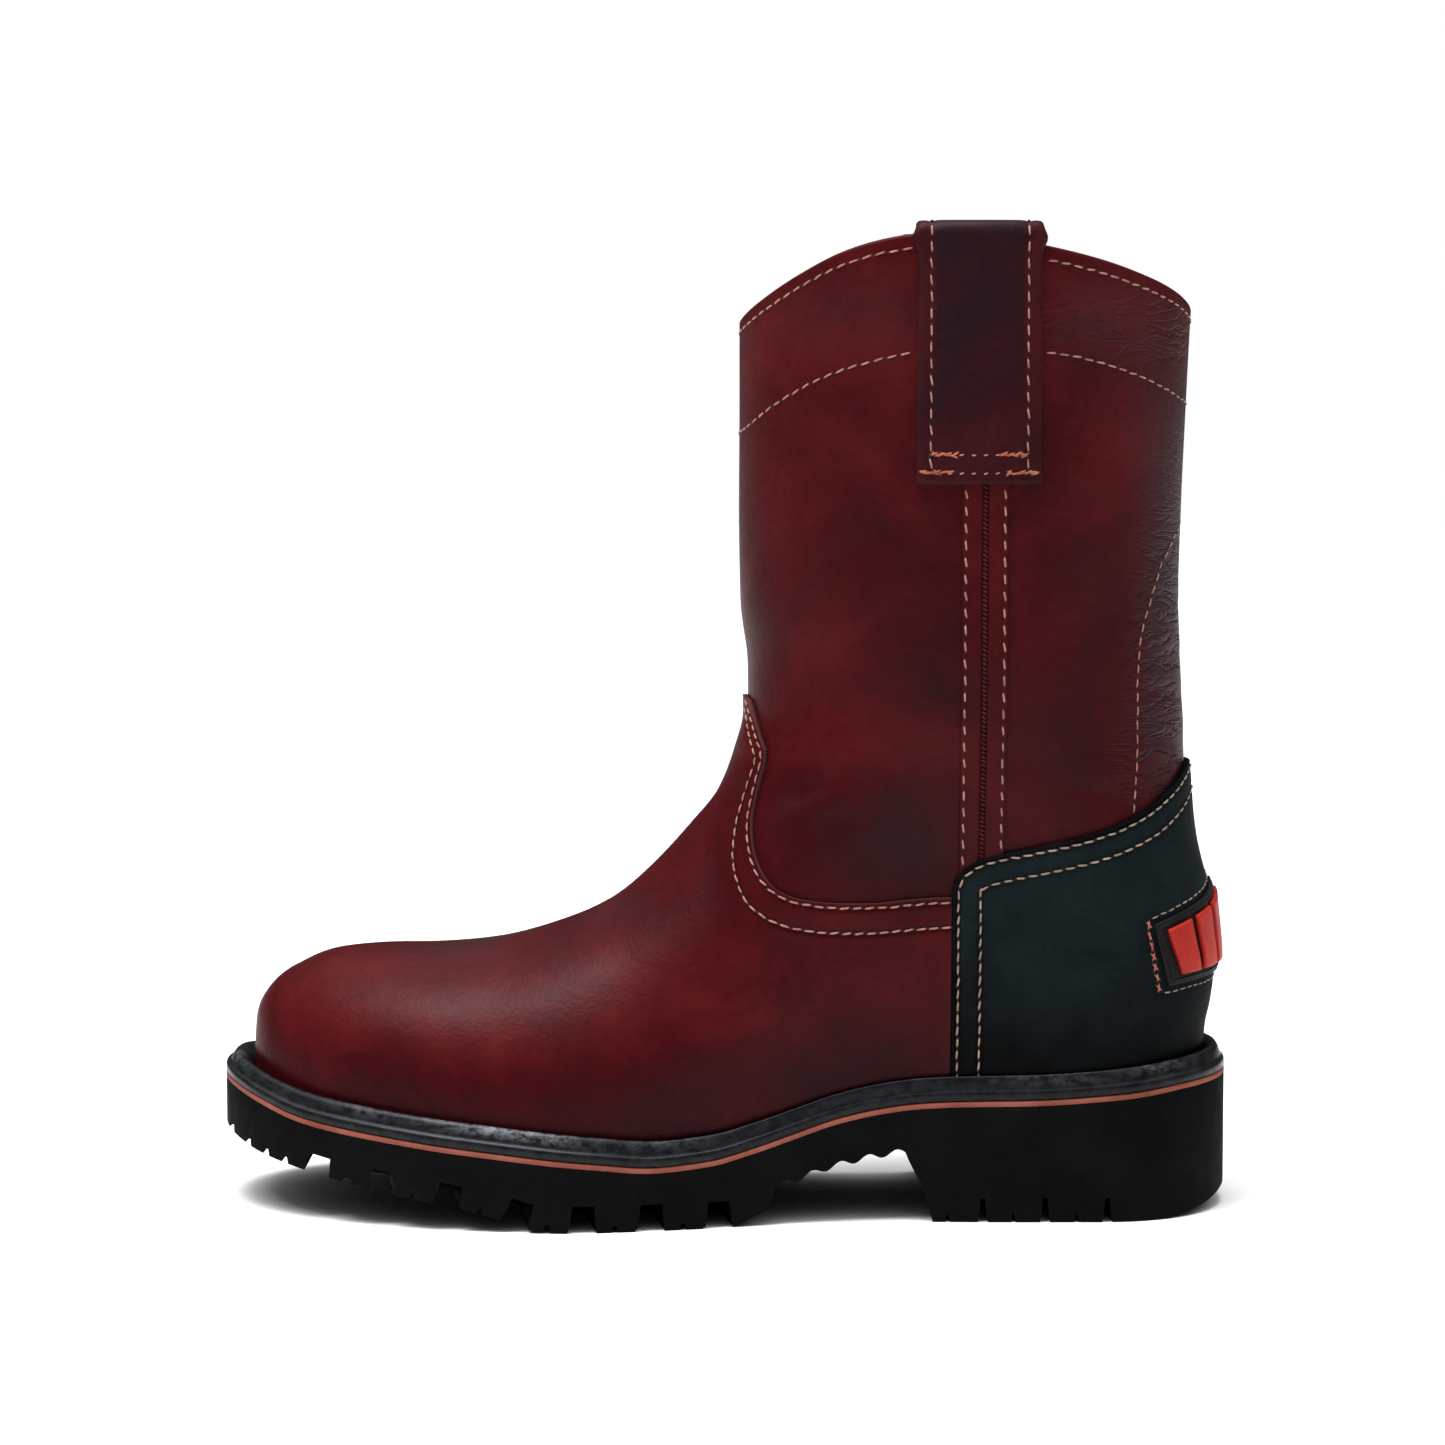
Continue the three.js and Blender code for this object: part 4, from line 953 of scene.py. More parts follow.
# Stitch rows: distances in from a panel's edge, at the edge's start and further along it
STITCH_DIP = 0.3
STITCH_DIP_WIDTH = 0.9
# Width of the painted shade along the stitch grooves
ROW_SHADE_WIDTH = 1.1
PANEL_INSIDE = 0.05
VAMP_OUTSIDE = GAP + VAMP_THICKNESS
EDGE_ROWS = {"vamp": [(1.3, 1.3), (4.2, 8.8)], "counter": [(1.7, 1.7), (8.2, 8.2)]}
ROW_SPREAD_FROM = 24
ROW_SPREAD_TO = 66


def vamp_line():
    x, z = edge_points(VAMP_EDGE)
    x[-1] -= GAP
    points = np.stack([x, z], -1)
    return np.concatenate([
        resample(points[:2], pitch=1.3)[:-1], resample(rounded(points[1:]), pitch=1.3)
    ])


def counter_top_line():
    return resample(rounded(np.stack(edge_points(COUNTER_EDGE), -1)), pitch=1.2)


def counter_line():
    """The counter's edge, from the sole up its front and along its top."""
    x, z = edge_points(COUNTER_EDGE)
    up = np.linspace(seat(x[0]) + 1, z[0], 24, endpoint=False)
    return np.concatenate([np.stack([np.full(24, x[0]), up], -1), counter_top_line()])


def on_side(line, side, offset):
    """Points and normals of a row of side-view places, on the leather."""
    level = level_at(line[:, 0], line[:, 1])
    turn = side * turn_at(level, line[:, 0])
    return surface(level, turn, offset), normal_at(level, turn)


def to_middle(level, turn):
    """Carries a row on to the middle of the front or back that it ends near."""
    inside = (turn > 0.04) & (turn < math.pi - 0.06)
    level, turn = level[inside], turn[inside]
    steps = np.linspace(0, 1, 12)[1:]
    if turn[-1] > 2.5:
        reach = mix(turn[-1], math.pi - 1e-3, steps)
        level = np.concatenate([level, np.full(11, level[-1])])
        turn = np.concatenate([turn, reach])
    if turn[0] < 0.45:
        reach = mix(1e-3, turn[0], steps - steps[0])
        level = np.concatenate([np.full(11, level[0]), level])
        turn = np.concatenate([reach, turn])
    return level, turn


def panel_rows(line, distances, offset):
    rows = []
    level = level_at(line[:, 0], line[:, 1])
    turn = turn_at(level, line[:, 0])
    if turn[-1] > 2.5:
        level, turn = to_middle(level, turn)
    spread = smooth(ROW_SPREAD_FROM, ROW_SPREAD_TO, lengths_along(last_point(level, turn)))
    for near_start, further in distances:
        for side in BOTH:
            places = row_inside(level, side * turn, mix(near_start, further, spread))
            rows.append((surface(*places, offset), normal_at(*places)))
    return rows


def edge_on_surface(line, offset):
    return [on_side(line, side, offset)[0] for side in BOTH]


def near_row(distance, reach):
    return np.exp(-(distance / reach) ** 2)


def panel_sheets(level, turn, outside, rows):
    """Both sheets of a panel that dips at its stitch rows, and the distance from these."""
    distance = distance_to(surface(level, turn, outside), rows)
    outer = surface(level, turn, outside - STITCH_DIP * near_row(distance, STITCH_DIP_WIDTH))
    return outer, surface(level, turn, PANEL_INSIDE), distance


VAMP_STITCHES = panel_rows(vamp_line(), EDGE_ROWS["vamp"], VAMP_OUTSIDE)
VAMP_ROWS = [points for points, _ in VAMP_STITCHES]
COUNTER_STITCHES = panel_rows(counter_line(), EDGE_ROWS["counter"], COUNTER_OUTSIDE)
COUNTER_ROWS = [points for points, _ in COUNTER_STITCHES]

# Upper: one shell with a rolled collar and a lining
UPPER_ROWS = 150
UPPER_AROUND = 260
RIM_STEPS = 6


def make_upper():
    turns = np.linspace(-math.pi, math.pi, UPPER_AROUND, endpoint=False)
    outer = surface(np.linspace(0, TOP, UPPER_ROWS)[:, None], turns)
    inner = surface(np.linspace(TOP, 0, UPPER_ROWS // 2)[:, None], turns, -UPPER_WALL)
    rim = []
    for k in range(1, RIM_STEPS):
        angle = k / RIM_STEPS * math.pi
        row = surface(TOP, turns, -UPPER_WALL / 2 + UPPER_WALL / 2 * math.cos(angle))
        row[:, 2] += UPPER_WALL / 2 * math.sin(angle)
        rim.append(row)
    rings = np.concatenate([outer, np.array(rim), inner])
    lining_from = (UPPER_ROWS + RIM_STEPS - 2) * UPPER_AROUND
    indices = [0] * lining_from + [1] * (len(rings) * UPPER_AROUND - lining_from)
    piece = tube("boot_upper", rings, [OXBLOOD, LINING], caps=False, indices=indices)
    set_shade(piece)
    finish_piece(piece, ["upper"])


make_upper()

# Vamp: columns run from its edge down to the sole, from the outer end round the toe to the inner
VAMP_COLUMNS = 180
VAMP_NEAR = 13
VAMP_NEAR_ROWS = 30
VAMP_FAR_ROWS = 80
VAMP_EVEN = 0.6
# The vamp gets a lighter band inside its edge, a painted highlight right along it, and painted
# shade in its stitch grooves and towards the sole
VAMP_BAND, VAMP_EDGE_HIGHLIGHT, VAMP_ROW_SHADE, VAMP_LOW_SHADE = 0.06, 0.3, 0.12, 0.26


def make_vamp():
    line = vamp_line()
    level = level_at(line[:, 0], line[:, 1])
    turn = turn_at(level, line[:, 0])
    turn[0] = 0
    places = np.arange(len(level))
    at = np.linspace(0, len(level) - 1, VAMP_COLUMNS)
    level, turn = np.interp(at, places, level), np.interp(at, places, turn)
    even = np.linspace(0, 1, VAMP_COLUMNS)
    foot = mix(turn / turn[-1], even, VAMP_EVEN) * turn_at(0.0, line[-1, 0])
    height = np.median(last_point(level, turn)[:, 2] - last_point(0.0, foot)[:, 2])
    near = VAMP_NEAR / height
    down = np.concatenate([
        np.linspace(0, near, VAMP_NEAR_ROWS, endpoint=False), np.linspace(near, 1, VAMP_FAR_ROWS)
    ])[:, None]
    level_grid = mix(level[None], 0.0, down)
    turn_grid = mix(turn[None], foot[None], down)
    straight = turn_at(level_grid, np.full(level_grid.shape, line[-1, 0]))
    turn_grid = mix(turn_grid, straight, smooth(0.8, 1, even)[None])
    level_all = np.concatenate([level_grid[:, ::-1], level_grid[:, 1:]], 1)
    turn_all = np.concatenate([-turn_grid[:, ::-1], turn_grid[:, 1:]], 1)
    outer, inner, distance = panel_sheets(level_all, turn_all, VAMP_OUTSIDE, VAMP_ROWS)
    piece = slab("vamp_overlay", outer, inner, [OXBLOOD, CUT_EDGE], wall_index=1)
    rim = distance_to(outer, edge_on_surface(line, VAMP_OUTSIDE))
    # Lighter band inside the edge, painted highlight right along the edge, painted shade in the
    # stitch grooves and towards the sole except round the toe
    band = VAMP_BAND * np.exp(-(rim / 11) ** 4) * smooth(0.4, 1.4, rim)
    band += VAMP_EDGE_HIGHLIGHT * near_row(rim, 0.6)
    row_shade = VAMP_ROW_SHADE * near_row(distance, ROW_SHADE_WIDTH)
    low = VAMP_LOW_SHADE * smooth(36, 3, outer[..., 2] - seat(outer[..., 0]))
    low = low * smooth(-120, -60, outer[..., 0])
    set_shade(piece, extra=np.tile((row_shade - band + low).reshape(-1), 2))
    bevel(piece, 0.45, material=1)
    finish_piece(piece, ["vamp"])


make_vamp()

# The counter gets painted shade towards the sole and in its stitch grooves, a dark brown band along
# its edge and a lighter tone overall
COUNTER_LOW_SHADE, COUNTER_LIGHTER, COUNTER_EDGE_DARK, COUNTER_ROW_SHADE = 0.42, 0.08, 0.35, 0.15


def make_counter():
    line = counter_top_line()
    levels = level_at(line[:, 0], line[:, 1])
    front = edge_points(COUNTER_EDGE)[0][0]
    shares = (line[:, 0] - front) / (s_back(levels) - front)
    inside = shares < 0.995
    across = np.concatenate([
        np.linspace(0, 0.12, 26, endpoint=False), np.linspace(0.12, 0.9, 60, endpoint=False),
        0.9 + 0.1 * np.sin(np.linspace(0, math.pi / 2, 24)),
    ])
    tops = np.interp(np.minimum(across, 0.99), shares[inside], levels[inside])
    rows = np.linspace(0, 1, 90)
    level_grid = rows[:, None] * tops[None, :]
    x_grid = front + across[None, :] * (s_back(level_grid) - front)
    turn_grid = turn_at(level_grid, x_grid)
    turn_grid[:, -1] = math.pi
    level_all = np.concatenate([level_grid, level_grid[:, -2::-1]], 1)
    turn_all = np.concatenate([-turn_grid, turn_grid[:, -2::-1]], 1)
    outer, inner, distance = panel_sheets(level_all, turn_all, COUNTER_OUTSIDE, COUNTER_ROWS)
    piece = slab("heel_counter", outer, inner, [NUBUCK])
    points = np.concatenate([outer.reshape(-1, 3), inner.reshape(-1, 3)])
    # Painted shade: darker towards the sole
    fade = COUNTER_LOW_SHADE * smooth(46, 4, points[:, 2] - seat(points[:, 0])) - COUNTER_LIGHTER
    rim = distance_to(outer, edge_on_surface(counter_line(), COUNTER_OUTSIDE))
    edge = COUNTER_EDGE_DARK * smooth(2.6, 1.4, rim) + COUNTER_ROW_SHADE * near_row(distance, ROW_SHADE_WIDTH)
    store(piece, "shade", fade + np.tile(edge.reshape(-1), 2))
    bevel(piece, 0.5)
    finish_piece(piece, ["counter"])


make_counter()


# Sole pieces
def sole_ring(count):
    """Turns, x and y of places round the sole's outline."""
    turns = np.linspace(-math.pi, math.pi, count, endpoint=False)
    x = -np.cos(turns) * SOLE_LENGTH / 2
    return turns, x, swing(x) + np.sign(np.sin(turns)) * sole_half(x)


def inset(ring, distance):
    """Moves a level ring towards its inside by a distance."""
    on = np.roll(ring, -1, 0) - np.roll(ring, 1, 0)
    across = unit(np.stack([-on[:, 1], on[:, 0], np.zeros(len(on))], -1))
    inner = ring + across * distance
    reach, was = (np.linalg.norm((r - ring.mean(0))[:, :2], axis=1).mean() for r in (inner, ring))
    return ring - across * distance if reach > was else inner


# Midsole's side: height over the outsole's top, distance inside the outline
MIDSOLE_RINGS = [(-0.1, 1.2), (0.1, 0.25), (0.35, 0.0), (1.5, 0.0), (1.75, 0.25), (2.0, 1.2)]


def make_midsole():
    _, x, y = sole_ring(300)
    rings = [inset(np.stack([x, y, outsole_top(x) + up], -1), depth) for up, depth in MIDSOLE_RINGS]
    finish_piece(tube("midsole_layer", rings, [MIDSOLE_RUBBER]), ["midsole"])


make_midsole()

# Worn places of the welt, whose lighter grey also paints a highlight on the outer toe: x, side,
# reach, strength
WELT_SCUFFS_AND_HIGHLIGHTS = [
    (-68, -1, 15, 0.95), (-52, -1, 9, 0.5), (-104, -1, 9, 0.25), (100, -1, 14, 0.22),
    (130, -1, 8, 0.3), (-80, 1, 13, 0.7), (20, 1, 20, 0.3), (-20, -1, 14, 0.2), (-149, -1, 3, 0.3),
]
WELT_WEAR = 0.06


def make_welt():
    turns, x, y = sole_ring(320)
    edge = np.stack([x, y, seat(x)], -1)
    clear = COUNTER_OUTSIDE + GAP - 0.2
    low, high = surface(0.0, turns, clear), surface(1.0, turns, clear)
    profile = WELT_PROFILE + [(1.0, 0.0)]
    rings = []
    for share, height in profile:
        up = height * WELT_HEIGHT
        lean = (up / (high[:, 2] - low[:, 2]))[:, None]
        wall = mix(low, high, lean)
        wall[:, 2] = low[:, 2]
        point = mix(edge, wall, share)
        point[:, 2] += up
        rings.append(point)
    rings = np.array(rings).transpose(1, 0, 2)
    piece = tube("storm_welt", rings, [WELT_RUBBER], caps=False)
    place = rings.reshape(-1, 3)
    top = smooth(0.55, 0.9, np.tile([h for _, h in profile], len(turns)))
    # Scuff wear, which is also a painted highlight on the outer toe
    scuffs_and_highlight = np.zeros(len(place))
    for cx, side_of, reach, strength in WELT_SCUFFS_AND_HIGHLIGHTS:
        scuffs_and_highlight += strength * np.exp(-((place[:, 0] - cx) / reach) ** 2) * (place[:, 1] * side_of > 0)
    store(piece, "shade", np.clip(scuffs_and_highlight * top + WELT_WEAR, 0, 1))
    finish_piece(piece, ["welt"])


make_welt()


def wedge(root, mouth, depth, length, x, y, yaw=0.0):
    """A cutter with its mouth down, as eight corners and six faces."""
    section = [
        (-mouth / 2, -CUTTER_BELOW), (mouth / 2, -CUTTER_BELOW), (root / 2, depth),
        (-root / 2, depth),
    ]
    slope = math.atan(float(sole_plane(along_of(x + 1)) - sole_plane(along_of(x - 1))) / 2)
    place = (
        Matrix.Translation((x, y, float(sole_plane(along_of(x)))))
        @ Matrix.Rotation(yaw, 4, "Z") @ Matrix.Rotation(-slope, 4, "Y")
    )
    corners = [place @ Vector((px, s * length / 2, pz)) for s in (-1, 1) for px, pz in section]
    faces = [[0, 1, 2, 3], [7, 6, 5, 4]]
    faces += [[i, i + 4, (i + 1) % 4 + 4, (i + 1) % 4] for i in range(4)]
    return [tuple(c) for c in corners], faces


def edge_y(x, side):
    return float(swing(x)) + side * float(sole_half(x))


def cutters():
    """Gaps and channels between the lugs, notches of the toe, slits of the heel."""
    out = []
    for i in range(LUG_COUNT):
        x = LUG_FIRST - i * LUG_PITCH
        fade = 1 - LUG_FADE * float(sole_plane(along_of(x))) / TREAD_RISE
        gap = (LUG_GAP, LUG_MOUTH, LUG_DEPTH * fade)
        if i == LUG_COUNT - 1:
            out.append(wedge(*gap, 2 * BALL_WIDTH, x, 0))
            continue
        length = min(LUG_LENGTH, float(sole_half(x)) * LUG_SHARE)
        for side in BOTH:
            out.append(wedge(*gap, 2 * length, x, edge_y(x, side), -side * LUG_YAW))
        middle = x - LUG_PITCH / 2
        inner = float(sole_half(middle)) - length
        centre, depth = float(swing(middle)), INNER_DEPTH * fade
        out.append(wedge(INNER_GAP, INNER_MOUTH, depth, 2 * inner, middle, centre))
        channel = (CHANNEL_LENGTH, CHANNEL_LENGTH, depth, CHANNEL_WIDTH, middle)
        for side in BOTH:
            out.append(wedge(*channel, centre + side * inner))
    for i in range(TOE_NOTCH_COUNT):
        x = -SOLE_LENGTH / 2 + (i + 0.5) * TOE_NOTCH_PITCH
        out.append(wedge(TOE_NOTCH_ROOT, TOE_NOTCH_MOUTH, TOE_NOTCH_DEPTH, 2 * BALL_WIDTH, x, 0))
    slit = (HEEL_SLIT_ROOT, HEEL_SLIT_MOUTH, HEEL_SLIT_DEPTH, 2 * HEEL_SLIT_LENGTH)
    for i in range(HEEL_SLIT_COUNT):
        x = HEEL_SLIT_FIRST + i * HEEL_SLIT_PITCH
        for side in BOTH:
            out.append(wedge(*slit, x, edge_y(x, side)))
        if i:
            across = (INNER_GAP, INNER_MOUTH, HEEL_CHANNEL_DEPTH)
            length = 2 * (float(sole_half(x)) - HEEL_SLIT_LENGTH)
            out.append(wedge(*across, length, x - HEEL_SLIT_PITCH / 2, float(swing(x))))
    return out


# Fine notches: root, mouth, depth, length, and for a lug the step from its middle
LUG_NOTCHES = [(1.2, 4.2, 1.9, 14, -0.8), (0.8, 3.4, 3.0, 8, 6.3)]
HEEL_NOTCH = (0.5, 3.0, 2.6, 9)
HEEL_NOTCHES_AT = (66.5, 86.0, 104.8)
SLIT_NOTCH = (0.9, 5.4, 4.2, 7)


def fine_cutters():
    """Small notches under the lugs and in the heel's edge."""
    out = []
    for i in range(LUG_COUNT - 1):
        middle = LUG_FIRST - (i + 0.5) * LUG_PITCH
        for side in BOTH:
            y = edge_y(middle, side)
            for *notch, step in LUG_NOTCHES:
                out.append(wedge(*notch, middle + step, y, -side * LUG_YAW))
    places = [(HEEL_NOTCH, x) for x in HEEL_NOTCHES_AT]
    places += [(SLIT_NOTCH, HEEL_SLIT_FIRST + i * HEEL_SLIT_PITCH) for i in range(HEEL_SLIT_COUNT)]
    for notch, x in places:
        for side in BOTH:
            out.append(wedge(*notch, x, edge_y(x, side)))
    return out


def x_at(along):
    return (0.5 - along) * SOLE_LENGTH


def outsole_stations():
    around = -np.cos(np.linspace(0, math.pi, 120)[1:-1]) * SOLE_LENGTH / 2
    forepart, breast_foot = x_at(FOREPART_END), x_at(HEEL_BREAST)
    breast_top = x_at(HEEL_BREAST + HEEL_BREAST_SLOPE)
    beside = 2 * STATIONS_APART
    stations = [*around, forepart - beside, forepart, breast_top, breast_top + beside]
    stations += list(np.linspace(breast_top, breast_foot, 7)[1:])
    stations += list(np.arange(forepart, breast_top, ARCH_RIB_PITCH / 10))
    stations = np.sort(stations)
    keep = [stations[0]]
    for x in stations[1:]:
        if x - keep[-1] > STATIONS_MERGED:
            keep.append(x)
    return np.array(keep)


def make_outsole():
    x = outsole_stations()
    low, top = (
        np.concatenate([
            np.stack([x, swing(x) - sole_half(x), height(x)], -1),
            np.stack([x, swing(x) + sole_half(x), height(x)], -1)[::-1],
        ])
        for height in (tread, outsole_top)
    )
    size = len(low)
    faces = [[k, (k + 1) % size, size + (k + 1) % size, size + k] for k in range(size)]
    for k in range(size // 2 - 1):
        faces.append([k, size - 1 - k, size - 2 - k, k + 1])
        faces.append([size + k, size + k + 1, 2 * size - 2 - k, 2 * size - 1 - k])
    points = np.concatenate([low, top])
    block = outward(add_mesh("lugged_outsole", points, faces, [OUTSOLE_RUBBER]))
    for group in (cutters(), fine_cutters()):
        points, cuts = [], []
        for corners, quads in group:
            start = len(points)
            points += corners
            cuts += [[start + i for i in quad] for quad in quads]
        tool = outward(add_mesh("tool", points, cuts, []))
        modifier = block.modifiers.new("cut", "BOOLEAN")
        modifier.operation = "DIFFERENCE"
        modifier.solver = "EXACT"
        modifier.use_self = True
        modifier.object = tool
        bake_modifiers(block)
        bpy.data.objects.remove(tool)
    merge = block.modifiers.new("merge", "WELD")
    merge.merge_threshold = 0.02 / MM
    bevel(block, 0.5, segments=2, angle=30)
    bake_modifiers(block)
    block.data.shade_smooth()
    block.data.set_sharp_from_angle(angle=math.radians(38))
    finish_piece(block, ["outsole"])


def bake_modifiers(piece):
    graph = bpy.context.evaluated_depsgraph_get()
    graph.update()
    mesh = bpy.data.meshes.new_from_object(piece.evaluated_get(graph))
    piece.modifiers.clear()
    piece.data = mesh


make_outsole()


def make_insole():
    turns = np.linspace(0, math.pi, 90)
    inner, outer = (surface(0.0, side * turns, -(UPPER_WALL + GAP)) for side in (1, -1))
    across = np.linspace(0, 1, 25)[:, None]
    under = mix(outer[None], inner[None], across[..., None])
    top = under.copy()
    top[..., 2] += INSOLE_THICKNESS - 1 + (1 - (2 * across - 1) ** 8)
    finish_piece(slab("footbed", top, under, [FOOTBED]), ["insole"])


make_insole()

# Side seams and pull straps
counter_top = curve(*edge_points([(x + i * 1e-5, r) for i, (x, r) in enumerate(COUNTER_EDGE)]))


def collar_z(x):
    return last_point(float(TOP), turn_at(float(TOP), x))[..., 2]


STRAP_BOTTOM = float(collar_z(STRAP_X)) - STRAP_DROP
# Half of the seam band's section: share of its width from the middle, share of its height
SEAM_ACROSS = [
    -0.5, -0.497, -0.485, -0.46, -0.42, -0.34, -0.24, -0.16, -0.12, -0.09, -0.06, -0.03, 0,
]
# Painted shade in the groove down the seam band's middle, and a lighter tone over the whole band
SEAM_GROOVE_SHADE, SEAM_LIGHTER = 0.24, 0.05
SEAM_RAISED = [0.0, 0.45, 0.8, 0.97, 0.85, 1.0, 1.05, 1.1, 1.12, 0.95, 0.5, 0.2, 0.1]


def make_seam_band(side, name):
    across = np.array(SEAM_ACROSS + [-a for a in SEAM_ACROSS[-2::-1]])
    raised = np.array(SEAM_RAISED + SEAM_RAISED[-2::-1])
    x = SEAM_X + across * SEAM_BAND_WIDTH
    rows = np.linspace(0, 1, 70)[:, None]
    z = mix(counter_top(x)[None] - 3, STRAP_BOTTOM + 6, rows)
    x = np.broadcast_to(x[None], z.shape)
    thick = 0.1 + SEAM_BAND_THICKNESS * 1.2 * raised[None] + np.zeros(z.shape)
    outer = side_point(x, z, side, thick)
    inner = side_point(x, z, side, -0.3)
    piece = slab("side_seam_" + name, outer, inner, [OXBLOOD])
    # Painted shade in the middle groove
    dark = SEAM_GROOVE_SHADE * smooth(0.09, 0.05, np.abs(across)) - SEAM_LIGHTER
    set_shade(piece, extra=np.tile(dark, 2 * len(rows)))
    finish_piece(piece, ["seam_band_" + name])


STRAP_STITCH = 0.385
STRAP_MIDDLE_DARK, STRAP_LIGHTER = 0.34, 0.04


def strap_path():
    """Distances out from the wall and heights, up the outside and down the inside, and the way."""
    half = STRAP_THICKNESS / 2
    outside, inside = GAP + half, -(UPPER_WALL + GAP + half)
    middle, radius = (outside + inside) / 2, (outside - inside) / 2
    crown = radius * STRAP_CROWN
    shoulder = float(collar_z(STRAP_X)) + STRAP_RISE - half - crown
    end = float(collar_z(STRAP_X)) - STRAP_INSIDE
    path = [(outside, z) for z in np.linspace(STRAP_BOTTOM, shoulder, 60, endpoint=False)]
    path += [
        (middle + radius * math.cos(a), shoulder + crown * math.sin(a))
        for a in np.linspace(0, math.pi, 17)
    ]
    path += [(inside, z) for z in np.linspace(shoulder, end, 30)[1:]]
    return np.array(path), unit(np.gradient(path, axis=0))


def strap_place(x, out, z, side):
    """A point of the strap at a distance out from the boot's wall."""
    wall = side_point(x, np.minimum(z, collar_z(x) - UPPER_WALL), side)
    return np.stack([x, wall[..., 1] + side * out, z], -1)


def make_pull_strap(side, name):
    path, direction = strap_path()
    across = np.concatenate([
        [-0.5, -0.492, -0.475], np.linspace(-0.45, 0.45, 37), [0.475, 0.492, 0.5]
    ])
    edge = 1 - np.clip((np.abs(across) - 0.45) / 0.05, 0, 1) ** 2.2
    half = STRAP_THICKNESS / 2 * (0.25 + 0.75 * np.sqrt(np.clip(edge, 0, 1)))
    half = half - STITCH_DIP * np.exp(-((np.abs(across) - STRAP_STITCH) * STRAP_WIDTH / 0.9) ** 2)
    half = half + 0.12 * smooth(STRAP_STITCH, STRAP_STITCH - 0.1, np.abs(across))
    height = path[:, 1] - path[0, 1]
    top = path[:, 1].max()
    flare = 1 + 0.075 * np.exp(-((path[:, 1] - (top - 4)) / 2.6) ** 2) * (path[:, 0] > -UPPER_WALL)
    flare = flare - 0.03 * smooth(25, 60, height) * smooth(top - 3, top - 14, path[:, 1])
    sheets = []
    for sign in (1, -1):
        out = path[:, None, 0] + direction[:, None, 1] * half[None] * sign
        z = path[:, None, 1] - direction[:, None, 0] * half[None] * sign
        x = STRAP_X + across[None] * STRAP_WIDTH * flare[:, None] + np.zeros(out.shape)
        sheets.append(strap_place(x, out, z + np.zeros(out.shape), side))
    piece = slab("pull_strap_" + name + "_leather", *sheets, [STRAP_LEATHER])
    middle = STRAP_MIDDLE_DARK * smooth(STRAP_STITCH, STRAP_STITCH - 0.06, np.abs(across))[None]
    shade = middle * smooth(8, 50, height)[:, None] - STRAP_LIGHTER
    store(piece, "shade", np.tile(shade.reshape(-1), 2))
    finish_piece(piece, ["pull_strap_" + name])


for side, name in SIDES:
    make_seam_band(side, name)
    make_pull_strap(side, name)


# Heel badge
def heel_turns():
    turns = np.arange(math.pi, math.pi / 2, -0.02)
    points = last_point(float(BADGE_LEVEL), turns)
    return curve(lengths_along(points), turns)


heel_turn = heel_turns()


def heel_point(arc, up, offset):
    arc, up, offset = np.broadcast_arrays(arc, up, offset)
    turn = np.minimum(heel_turn(np.abs(arc)), math.pi - 1e-3)

    def is_below(level):
        return mix(s_up(level), s_back_up(level), (1 - np.cos(turn)) / 2) < up

    return surface(find_level(is_below, arc.shape), np.where(arc < 0, -1, 1) * turn, offset)


def heel_row(arc, up, offset):
    """Points round the heel, and the normals there."""
    points = heel_point(arc, up, offset)
    return points, heel_point(arc, up, offset + 1.0) - points


def badge_arc(share, lift):
    return share * mix(BADGE_ARC_BOTTOM, BADGE_ARC_TOP, lift)


def badge_up(share, margin, lift):
    """Height above the seat on the badge: lift 0 at its lower edge, 1 at its upper edge."""
    peak = BADGE_LOW + mix(BADGE_PEAK_HEIGHT, BADGE_END_HEIGHT, np.abs(share))
    return mix(BADGE_LOW + margin, peak - margin, lift)


def badge_slab(name, ends, margin, sheets, steps, material, nodes, width):
    share = np.linspace(*ends, steps)[None, :]
    lift = np.linspace(0, 1, 12)[:, None]
    arc, up = badge_arc(share, lift), badge_up(share, margin, lift)
    inner, outer = (heel_point(arc, up, offset) for offset in sheets)
    piece = slab(name, outer, inner, [material])
    bevel(piece, width, 3)
    finish_piece(piece, nodes)


badge_slab("badge_plate", (-1, 1), 0, (COUNTER_OUTSIDE - 0.1, PLATE_OUTSIDE), 90, BADGE_RUBBER,
           ["heel_badge"], 0.4)
for i in range(BLOCK_COUNT):
    edge = BADGE_BORDER / BADGE_ARC_TOP
    pitch = (2 - 2 * edge) / BLOCK_COUNT
    trim = BLOCK_GAP / BADGE_ARC_TOP / 2
    start = -1 + edge + i * pitch + trim
    badge_slab(
        f"badge_raised_{i + 1}", (start, start + pitch - 2 * trim), BADGE_BORDER,
        (PLATE_OUTSIDE - 0.1, PLATE_OUTSIDE + GAP + BLOCK_THICKNESS), 14, BADGE_ORANGE,
        [f"badge_block_{i + 1}"], 0.6,
    )


def badge_outline(margin, end_margin, offset, count=90):
    """A closed row of points round the badge, and the normals there."""
    end = 1 - end_margin / BADGE_ARC_TOP
    share = np.concatenate([
        np.linspace(-end, end, count), np.full(16, end),
        np.linspace(end, -end, count), np.full(16, -end),
    ])
    lift = np.concatenate([
        np.zeros(count), np.linspace(0, 1, 18)[1:-1], np.ones(count), np.linspace(1, 0, 18)[1:-1]
    ])
    return heel_row(badge_arc(share, lift), badge_up(share, margin, lift), offset)


# Border's section: share of its width, height
BORDER_WIDTH = 0.9
BORDER_PROFILE = [
    (-0.5, -0.2), (-0.42, 0.18), (-0.2, 0.32), (0.2, 0.32), (0.42, 0.18), (0.5, -0.2),
]


